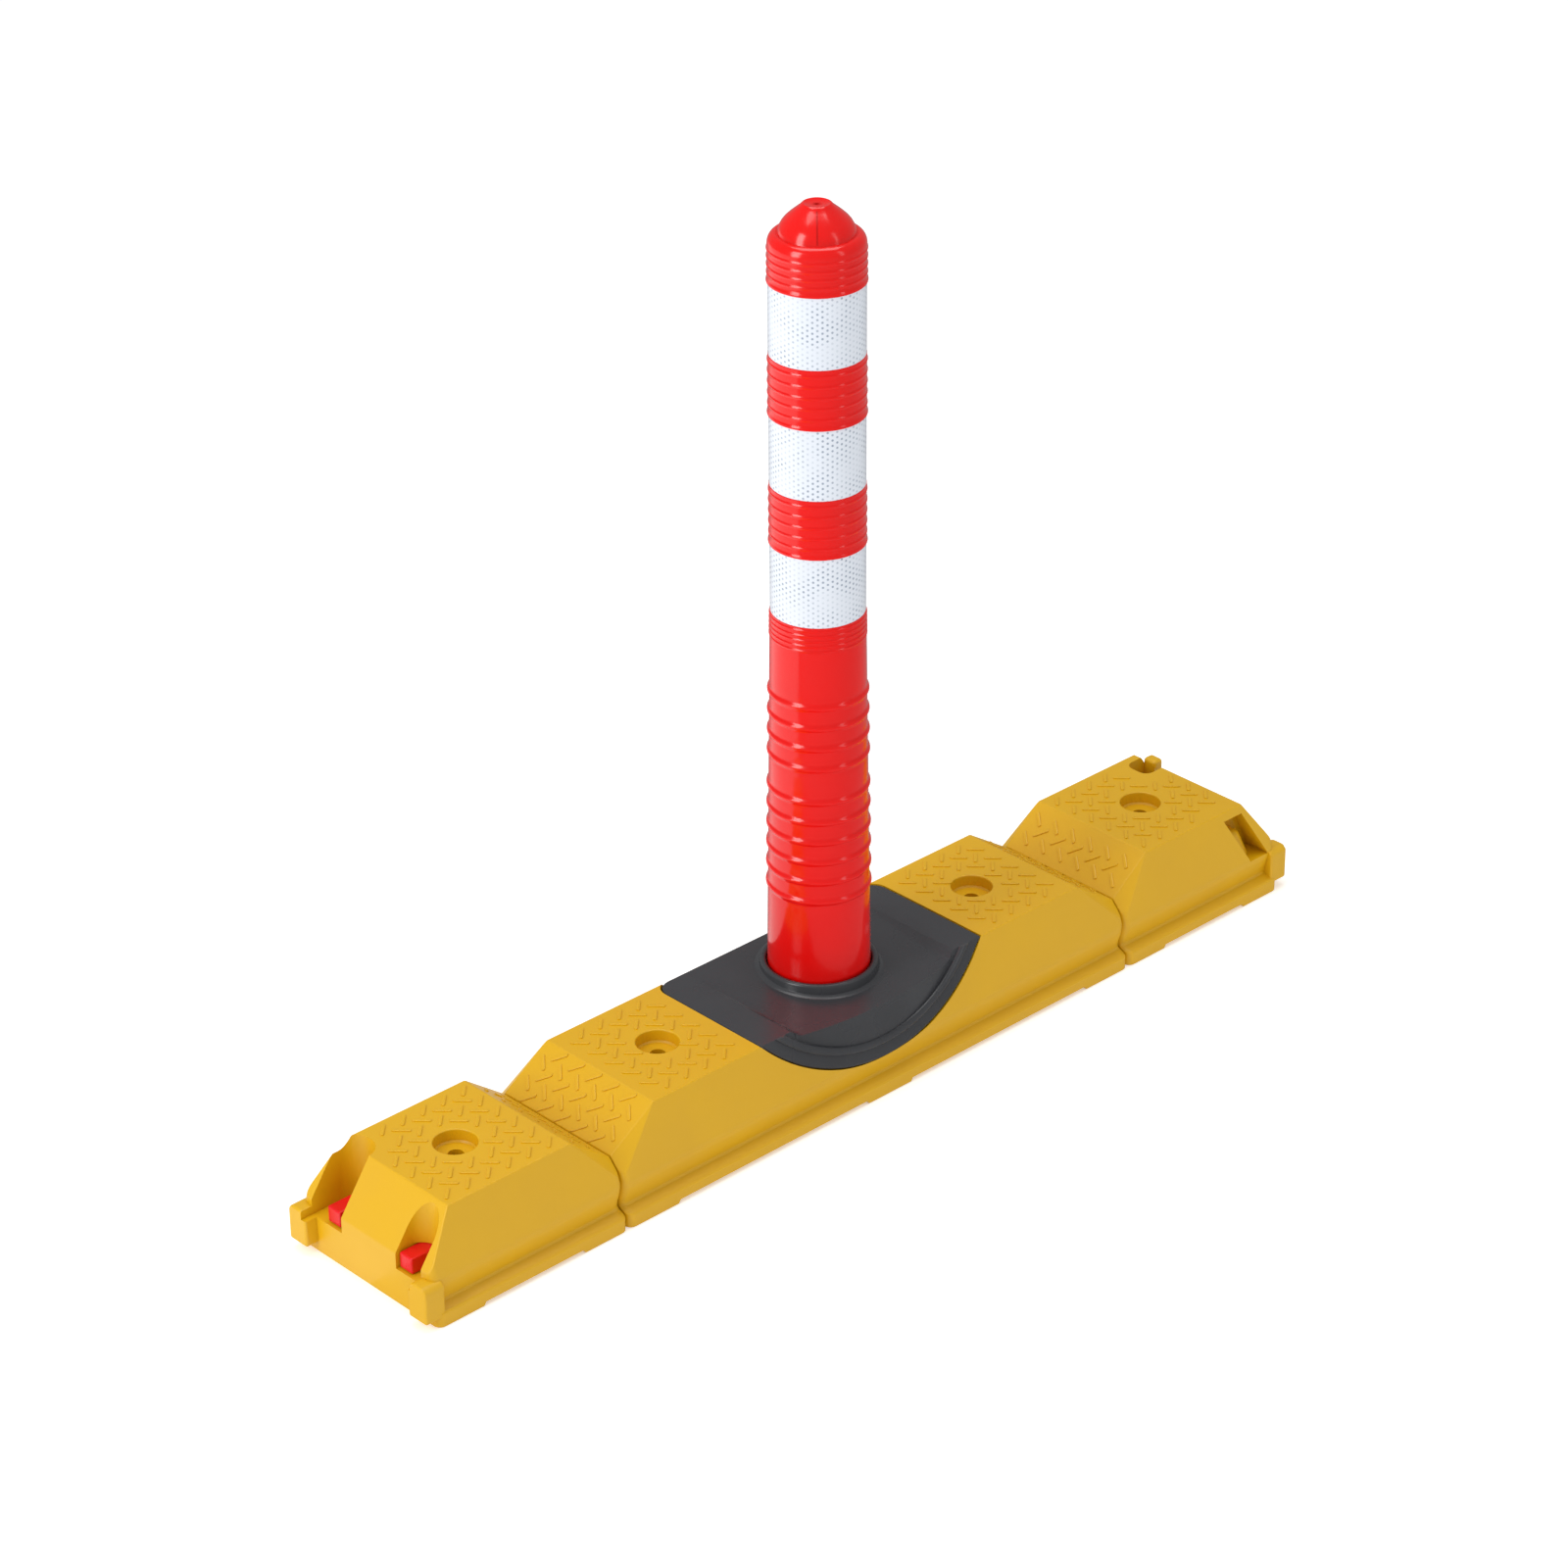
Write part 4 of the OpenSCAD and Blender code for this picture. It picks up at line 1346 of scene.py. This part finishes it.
    def flare(self) -> bpy.types.Object:
        """Hollow-curved cone from the deck up to the collar, square to the deck."""
        inner, spread, rise = 51, 13, 6.8
        shares = [step / 9 for step in range(10)]
        curve = [(inner + spread * share ** 1.7, rise * (1 - share) ** 2.1 - 1) for share in shares]
        profile = [(inner, -4)] + curve + [(inner + spread, -4), (inner, -4)]
        flare = turn_profile("flare", profile, 128)
        flare.rotation_euler = (math.atan(self.deck_fall), 0, 0)
        drop = self.deck_fall * (self.rear_y + 1)
        flare.location = (0, 0, (self.top_z - drop) * MM)
        return settle(flare)

    def build(self) -> bpy.types.Object:
        """Models the plate and returns it."""
        obj = self.slab(0, self.top_z - self.thick, self.top_z, self.edge_r)
        obj.name = "foot_plate_moulding"
        steps = (
            (self.apron(0, -self.thick, 0, self.edge_r), Operation.ADD),
            (self.lip(), Operation.ADD),
            (self.deck_cutter(), Operation.CUT),
            (self.rim(), Operation.ADD),
            (add_round("sleeve", self.sleeve_r, (0, 0, self.sleeve_z), 52, 96), Operation.ADD),
            (add_round("bore", self.bore_r, (0, 0, 0), 200, 128), Operation.CUT),
            (self.flare(), Operation.ADD),
            (self.collar(), Operation.ADD))
        for tool, operation in steps:
            combine(obj, tool, operation)
            clean(obj)
        dress(obj, self.material)
        smooth(obj)
        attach(obj, Body.KERB.value)
        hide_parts("foot_plate")
        return obj


# ---------------------------------------------------------------- post


@dataclass
class PostShape:
    """Sizes that the post's pieces share, in mm."""

    base_r: float = 45.0
    flange_r: float = 60.0
    flange_h: float = 6.0
    tube_r: float = 40.5
    wall: float = 4.0
    taper_z: float = 94.0
    tube_z: float = box_mm("lower_band")[0].z
    sides: int = 96

    def radius(self, z: float) -> float:
        """Radius of the plain wall at a height."""
        share = min(max((z - self.taper_z) / (self.tube_z - self.taper_z), 0), 1)
        return self.base_r + (self.tube_r - self.base_r) * share

    def rib(self, z: float, out: float, half: float, hollow: float = 0.0) -> Profile:
        """A rounded rib across the wall, as radius and height from below to above.

        Args:
            z: height of its crest.
            out: how far the crest stands out.
            half: half its width along the post.
            hollow: depth of the shallow dip on either side.

        Returns:
            The rib's profile.
        """
        points = [(-1.75, -0.35 * hollow), (-1.3, -hollow), (-0.95, -0.4 * hollow), (-0.72, 0.22 * out),
                  (-0.5, 0.62 * out), (-0.25, 0.93 * out), (0.0, out), (0.25, 0.93 * out),
                  (0.5, 0.62 * out), (0.72, 0.22 * out), (0.95, -0.4 * hollow), (1.3, -hollow),
                  (1.75, -0.35 * hollow)]
        return [(self.radius(z + a * half) + b, z + a * half) for a, b in points]

    def shell(self, name: str, outer: Profile) -> bpy.types.Object:
        """Turns an outer profile into a closed tube wall.

        Args:
            name: the object's name.
            outer: radius and height of the outside, from below to above.

        Returns:
            The tube.
        """
        inner = []
        low, high = outer[0][1], outer[-1][1]
        steps = max(2, round((high - low) / 8))
        for step in range(steps, -1, -1):
            z = low + (high - low) * step / steps
            inner.append((self.radius(z) - self.wall, z))
        return turn_profile(name, outer + inner + [outer[0]], self.sides)


@dataclass
class Post:
    """The flexible post: base, two ribbed flexible stretches, waist, tube and cap."""

    material: bpy.types.Material
    shape: PostShape = field(default_factory=PostShape)
    big_pitch: float = 19.2
    big_out: float = 1.75
    big_half: float = 3.6
    fine_out: float = 0.62
    fine_half: float = 1.7
    fine_ribs: int = 5
    seat_depth: float = 0.6
    dome_rise: float = 25.0
    shoulder_h: float = 9.0
    shoulder_r: float = 7.0
    seam_half: float = 0.45
    seam_turn: float = math.radians(-133.3)

    def dress_piece(self, obj: bpy.types.Object, node: str) -> bpy.types.Object:
        """Gives a piece of the post its finish and hides the node it stands for.

        Args:
            obj: the piece.
            node: the CAD node.

        Returns:
            The piece.
        """
        dress(obj, self.material)
        smooth(obj)
        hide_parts(node)
        return obj

    def build(self) -> list[bpy.types.Object]:
        """Models every piece of the post and returns them."""
        return [
            self.build_base(),
            self.build_bellows("lower_bellows", 6),
            self.build_waist(),
            self.build_bellows("upper_bellows", 4),
            self.build_tube(),
            self.build_cap()]

    def build_base(self) -> bpy.types.Object:
        """Models the plain foot of the post, with its clamping flange, and returns it."""
        s = self.shape
        low, high = box_mm("post_base")
        flange_top = low.z + s.flange_h
        outer = [(s.flange_r - 0.8, low.z), (s.flange_r, low.z + 0.8), (s.flange_r, flange_top - 0.8),
                 (s.flange_r - 0.8, flange_top), (s.base_r + 1.2, flange_top),
                 (s.base_r, flange_top + 1.2), (s.base_r, s.taper_z)]
        steps = 6
        outer += [(s.radius(z), z) for z in
                  (s.taper_z + (high.z - s.taper_z) * i / steps for i in range(1, steps + 1))]
        inner = [(s.radius(high.z) - s.wall, high.z), (s.base_r - s.wall, s.taper_z),
                 (s.base_r - s.wall, low.z)]
        base = turn_profile("post_foot", outer + inner + [outer[0]], s.sides)
        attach(self.dress_piece(base, "post_base"), Body.KERB.value)
        return base

    def build_bellows(self, node: str, ribs: int) -> bpy.types.Object:
        """Models a flexible stretch with large ribs.

        Args:
            node: the CAD node that it stands for.
            ribs: the number of large ribs.

        Returns:
            The stretch.
        """
        s = self.shape
        low, high = box_mm(node)
        low_z, high_z = round(low.z, 3), round(high.z, 3)
        first = (low_z + high_z) / 2 - (ribs - 1) / 2 * self.big_pitch
        outer = [(s.radius(low_z), low_z)]
        for count in range(ribs):
            outer += s.rib(first + count * self.big_pitch, self.big_out, self.big_half, 0.25)
        outer.append((s.radius(high_z), high_z))
        piece = self.dress_piece(s.shell(node + "_moulding", outer), node)
        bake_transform(piece)
        return piece

    def build_waist(self) -> bpy.types.Object:
        """Models the short plain stretch between the two flexible ones and returns it."""
        s = self.shape
        low, high = box_mm("post_waist")
        heights = [low.z + (high.z - low.z) * i / 3 for i in range(4)]
        outer = [(s.radius(z), z) for z in heights]
        piece = self.dress_piece(s.shell("post_waist_moulding", outer), "post_waist")
        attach(piece, Body.POST_MIDDLE.value)
        return piece

    def ribbed(self, low_z: float, high_z: float, count: int, bead: bool) -> Profile:
        """Fine ribs spread evenly between two heights.

        Args:
            low_z: height where the ribbed stretch starts.
            high_z: height where it ends.
            count: the number of ribs.
            bead: whether a flared bead runs round its lower end.

        Returns:
            Radius and height of each ring.
        """
        s = self.shape
        points = []
        start = low_z
        if bead:
            flare = [(0.1, 0), (0.75, 0.35), (0.95, 1.1), (0.8, 2.0), (0.35, 3.0), (0, 4.2)]
            points += [(s.tube_r + out, low_z + rise) for out, rise in flare]
            start = low_z + 4.6
        pitch = (high_z - start) / count
        half = min(self.fine_half, pitch / 3.6)
        for i in range(count):
            points += s.rib(start + (i + 0.5) * pitch, self.fine_out, half, 0.12)
        return points

    def build_tube(self) -> bpy.types.Object:
        """Models the stiff tube, with a seat for each band and fine ribs between, and returns it."""
        s = self.shape
        low, high = box_mm("post_tube")
        bands = [box_mm(name) for name in ("lower_band", "middle_band", "upper_band")]
        seat_r = bands[0][1].x - self.seat_depth
        outer = [(s.radius(low.z), low.z), (s.radius(low.z + 20), low.z + 20)]
        stretch_low = bands[0][0].z - 24
        for index, (band_low, band_high) in enumerate(bands):
            outer += self.ribbed(stretch_low, band_low.z - 0.6, self.fine_ribs, index > 0)
            outer += [(s.tube_r, band_low.z - 0.3), (s.tube_r - 0.3, band_low.z), (seat_r, band_low.z),
                      (seat_r, band_high.z), (s.tube_r - 0.2, band_high.z)]
            stretch_low = band_high.z
        outer = [point for point in outer if point[1] <= high.z + 0.001]
        tube = self.dress_piece(s.shell("post_tube_moulding", outer), "post_tube")
        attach(tube, Body.POST_TOP.value)
        return tube

    def dome(self, inset: float) -> Profile:
        """The dome's profile from its foot up to the dished button.

        Args:
            inset: how far inside the outer surface it lies.

        Returns:
            Radius and height of each ring.
        """
        foot = box_mm("post_cap")[1].z - self.dome_rise
        bell = [(32, 0), (31.6, 2.5), (30.6, 5.5), (28.8, 8.8), (26.2, 12), (23, 15.1), (19.6, 18),
                (16.4, 20.6), (14.3, 22.3), (13.1, 23.5), (12.2, 24.5), (11.2, 25), (10, 24.8),
                (8.5, 24.1), (5, 23.7), (0.01, 23.6)]
        return [(max(r - inset, 0.01 * (1 + r / 100)), foot + rise - inset) for r, rise in bell]

    def build_cap(self) -> bpy.types.Object:
        """Models the cap, its ribbed skirt, shoulder, dome, button and seam, and returns it."""
        s = self.shape
        low, high = box_mm("post_cap")
        skirt_z = box_mm("upper_band")[1].z
        foot = high.z - self.dome_rise
        shoulder_z = foot - self.shoulder_h
        spigot_r = s.tube_r - s.wall - 0.2
        outer = [(spigot_r - s.wall, low.z), (spigot_r, low.z), (spigot_r, skirt_z)]
        outer += self.ribbed(skirt_z, shoulder_z, 4, True)
        turns = [math.radians(a) for a in range(0, 91, 10)]
        outer += [(s.tube_r - self.shoulder_r * (1 - math.cos(t)),
                   foot - self.shoulder_h * (1 - math.sin(t))) for t in turns]
        outer += [(32.7, foot - 0.5), (32.3, foot - 0.4)]
        outer += self.dome(0)
        inner = [(0.01, high.z - 6)]
        inner += [(r, z) for r, z in reversed(self.dome(s.wall)) if r > 10 and z < high.z - 6.5]
        inner += [(spigot_r - s.wall, foot - 12), outer[0]]
        cap = turn_profile("post_cap_moulding", outer + inner, s.sides)
        self.cut_seam_line(cap)
        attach(self.dress_piece(cap, "post_cap"), Body.POST_TOP.value)
        return cap

    def cut_seam_line(self, cap: bpy.types.Object) -> None:
        """Cuts the thin moulding seam down one side of the dome.

        Args:
            cap: the cap's shell.
        """
        high = box_mm("post_cap")[1].z
        blade = add_block("seam_blade", (13.5, -self.seam_half, high - self.dome_rise + 0.5),
                          (31.8, self.seam_half, high + 5))
        profile = self.dome(1.0) + [(0.01, high - 40), (31.0, high - 40), (31.0, high - 26)]
        core = turn_profile("seam_core", profile, self.shape.sides)
        combine(blade, core, Operation.CUT)
        blade.rotation_euler = (0, 0, self.seam_turn)
        settle(blade)
        combine(cap, blade, Operation.CUT)


@dataclass
class SheetingBand:
    """A sleeve of reflective sheeting in its seat on the tube."""

    name: str
    material: bpy.types.Material
    thickness: float = 0.6
    sides: int = 96

    def build(self) -> bpy.types.Object:
        """Models the sleeve, with softly rounded rims, and returns it."""
        low, high = box_mm(self.name)
        r = high.x
        inner = r - self.thickness
        outer = [(inner, low.z), (r - 0.2, low.z), (r - 0.05, low.z + 0.15), (r, low.z + 0.5)]
        steps = 8
        outer += [(r, low.z + 0.5 + (high.z - low.z - 1) * i / steps) for i in range(1, steps + 1)]
        outer += [(r - 0.05, high.z - 0.15), (r - 0.2, high.z), (inner, high.z), (inner, low.z)]
        band = turn_profile(self.name + "_sleeve", outer, self.sides)
        dress(band, self.material)
        smooth(band)
        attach(band, Body.POST_TOP.value)
        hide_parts(self.name)
        return band


# ---------------------------------------------------------------- fasteners, floor, light and camera


@dataclass
class Fasteners:
    """The hidden hardware and seam bars, which keep their CAD meshes and get finer finishes."""

    zinc: bpy.types.Material
    brass: bpy.types.Material
    red: bpy.types.Material

    def build(self) -> list[bpy.types.Object]:
        """Gives each node its material and returns the nodes."""
        finishes = {"threaded_inserts": self.brass, "start_seam_bars": self.red, "end_seam_bars": self.red}
        for node in ("clamp_ring", "clamp_washers", "clamp_bolts", "plate_washers", "plate_screws"):
            finishes[node] = self.zinc
        for node, material in finishes.items():
            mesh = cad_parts[node].data
            mesh.materials.clear()
            mesh.materials.append(material)
        return [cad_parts[node] for node in finishes]


@dataclass
class Studio:
    """Pale floor, even surrounding light and three soft boxes."""

    floor_size: float = 14.0
    floor_colour: str = "#fbfbfb"
    floor_shade: str = "#f7f8f8"
    surround: float = 0.64
    dim_surround: float = 0.26
    # strengths and turn of the floor's painted reflection, as glossy surfaces see it
    floor_in_gloss: float = 0.28
    left_glow: float = 0.95
    glow_turn: tuple[float, float] = (1.3, 1.7)

    def lay_floor(self) -> None:
        """Lays the floor just under the kerb; glossy surfaces mirror it darker, but for a brighter glow on
        its left side: painted reflections on the post.
        """
        bpy.ops.object.select_all(action="DESELECT")
        bpy.ops.mesh.primitive_plane_add(size=self.floor_size, location=(0, 0, -0.0002))
        floor = bpy.context.object
        floor.name = "floor"
        settle(floor)
        material, tree = new_material("matt_white_backdrop")
        place = add_node(tree, "ShaderNodeTexCoord").outputs["Object"]
        clouds = add_node(tree, "ShaderNodeTexNoise", {"Scale": 2.0}, {"Vector": place})
        colour = add_node(tree, "ShaderNodeMix",
                          {6: linear(self.floor_colour), 7: linear(self.floor_shade)},
                          {"Factor": clouds.outputs["Fac"]}, data_type="RGBA")
        shader = add_node(tree, "ShaderNodeBsdfPrincipled",
                          {"Roughness": 0.9, "Specular IOR Level": 0.1, "Emission Color": (1, 1, 1, 1),
                           "Emission Strength": 0.3},
                          {"Base Color": colour.outputs[2]})
        # painted reflection: glossy rays see the floor as an emission that glows brighter towards its left
        # side, for tall highlights on the post
        parts = add_node(tree, "ShaderNodeSeparateXYZ", links={0: place})
        angle = add_node(tree, "ShaderNodeMath", links={0: parts.outputs["Y"], 1: parts.outputs["X"]},
                         operation="ARCTAN2").outputs[0]
        glow_from, glow_to = self.glow_turn
        glow = add_node(tree, "ShaderNodeMapRange",
                        {"From Min": glow_from, "From Max": glow_to, "To Min": self.floor_in_gloss,
                         "To Max": self.left_glow}, {"Value": angle}, interpolation_type="SMOOTHSTEP")
        path = add_node(tree, "ShaderNodeLightPath")
        dim = add_node(tree, "ShaderNodeEmission", links={"Strength": glow.outputs["Result"]})
        both = add_node(tree, "ShaderNodeMixShader", links={0: path.outputs["Is Glossy Ray"],
                                                            1: shader.outputs["BSDF"],
                                                            2: dim.outputs["Emission"]})
        add_node(tree, "ShaderNodeOutputMaterial", links={"Surface": both.outputs["Shader"]})
        floor.data.materials.append(material)

    def light_room(self) -> None:
        """Surrounds the object with white light, dimmer as glossy surfaces see it."""
        world = bpy.data.worlds.new("soft_room")
        bpy.context.scene.world = world
        world.use_nodes = True
        tree = world.node_tree
        tree.nodes.clear()
        path = add_node(tree, "ShaderNodeLightPath")
        strength = add_node(tree, "ShaderNodeMapRange",
                            {"To Min": self.surround, "To Max": self.dim_surround},
                            {"Value": path.outputs["Is Glossy Ray"]})
        background = add_node(tree, "ShaderNodeBackground", {"Color": (1, 1, 1, 1)},
                              {"Strength": strength.outputs["Result"]})
        add_node(tree, "ShaderNodeOutputWorld", links={"Surface": background.outputs["Background"]})

    def hang_softbox(self, name: str, place: Point, aim: Point, size: tuple[float, float],
                     power: float) -> None:
        """Hangs a rectangular soft box.

        Args:
            name: the light's name.
            place: where it hangs, in metres.
            aim: what it points at, in metres.
            size: its width and height, in metres.
            power: its power, in watts.
        """
        light = bpy.data.lights.new(name, "AREA")
        light.shape = "RECTANGLE"
        light.size, light.size_y = size
        light.energy = power
        lamp = bpy.data.objects.new(name, light)
        bpy.context.collection.objects.link(lamp)
        lamp.location = place
        lamp.rotation_euler = (Vector(aim) - Vector(place)).to_track_quat("-Z", "Y").to_euler()

    def build(self) -> None:
        """Sets the floor and the lights."""
        self.lay_floor()
        self.light_room()
        self.hang_softbox("left_softbox", place=(-2.6, 0.15, 1.5), aim=(0, 0, 0.4),
                          size=(0.9, 2.2), power=34)
        self.hang_softbox("front_softbox", place=(0.75, -2.9, 1.9), aim=(0, 0, 0.4),
                          size=(0.45, 2.2), power=5)
        self.hang_softbox("top_softbox", place=(0.2, 0.3, 3.4), aim=(0, 0, 0),
                          size=(2.6, 1.6), power=40)


@dataclass
class StudioCamera:
    """Camera that looks down on the kerb's front corner through a long lens."""

    azimuth: float = math.radians(-43.28)
    elevation: float = math.radians(28.70)
    roll: float = math.radians(-0.40)
    lens: float = 105.33
    distance: float = 4.03095
    aside: float = 0.03099
    below: float = 0.2365

    def build(self) -> None:
        """Places the camera and makes it the scene's."""
        a, e = self.azimuth, self.elevation
        right = Vector((math.cos(a), math.sin(a), 0))
        back = Vector((math.sin(a) * math.cos(e), -math.cos(a) * math.cos(e), math.sin(e)))
        up = back.cross(right)
        cos_r, sin_r = math.cos(self.roll), math.sin(self.roll)
        rolled_right = cos_r * right + sin_r * up
        rolled_up = cos_r * up - sin_r * right
        data = bpy.data.cameras.new("studio_camera")
        data.lens = self.lens
        data.sensor_width = 36
        data.clip_end = 50
        data.dof.use_dof = False
        camera = bpy.data.objects.new("studio_camera", data)
        bpy.context.collection.objects.link(camera)
        turn = Matrix((rolled_right, rolled_up, back)).transposed().to_4x4()
        place = -self.aside * rolled_right + self.below * rolled_up + self.distance * back
        camera.matrix_world = Matrix.Translation(place) @ turn
        bpy.context.scene.camera = camera


def main() -> None:
    """Builds every sub-assembly and reports it, then sets up the studio."""
    logging.basicConfig(level=logging.INFO, format="%(asctime)s %(message)s")
    bpy.context.scene.view_settings.view_transform = "Standard"
    yellow, bar_red, black, red = YELLOW.build(), BAR_RED.build(), BLACK.build(), RED.build()
    plate = FootPlate(black)
    shape = KerbShape()
    outer, seam, middle = shape.end_x, shape.seam_start, shape.middle_end
    report(StartModule("start_module", yellow, -outer, -seam, holes=(-411.0,)).build())
    report(MiddleModule("middle_module", yellow, -middle, middle, holes=(-189.0, 189.0)).build(plate))
    report(FarModule("far_module", yellow, seam, outer, holes=(411.0,)).build())
    report(LockBar("front_lock_bar", Body.FRONT_BAR, bar_red).build())
    report(LockBar("rear_lock_bar", Body.REAR_BAR, bar_red).build())
    report(plate.build())
    report(*Post(red).build())
    sheeting = ReflectiveSheeting().build()
    for name in ("lower_band", "middle_band", "upper_band"):
        report(SheetingBand(name, sheeting).build())
    report(*Fasteners(ZINC.build(), BRASS.build(), bar_red).build())
    Studio().build()
    StudioCamera().build()


if __name__ == "__main__":
    main()
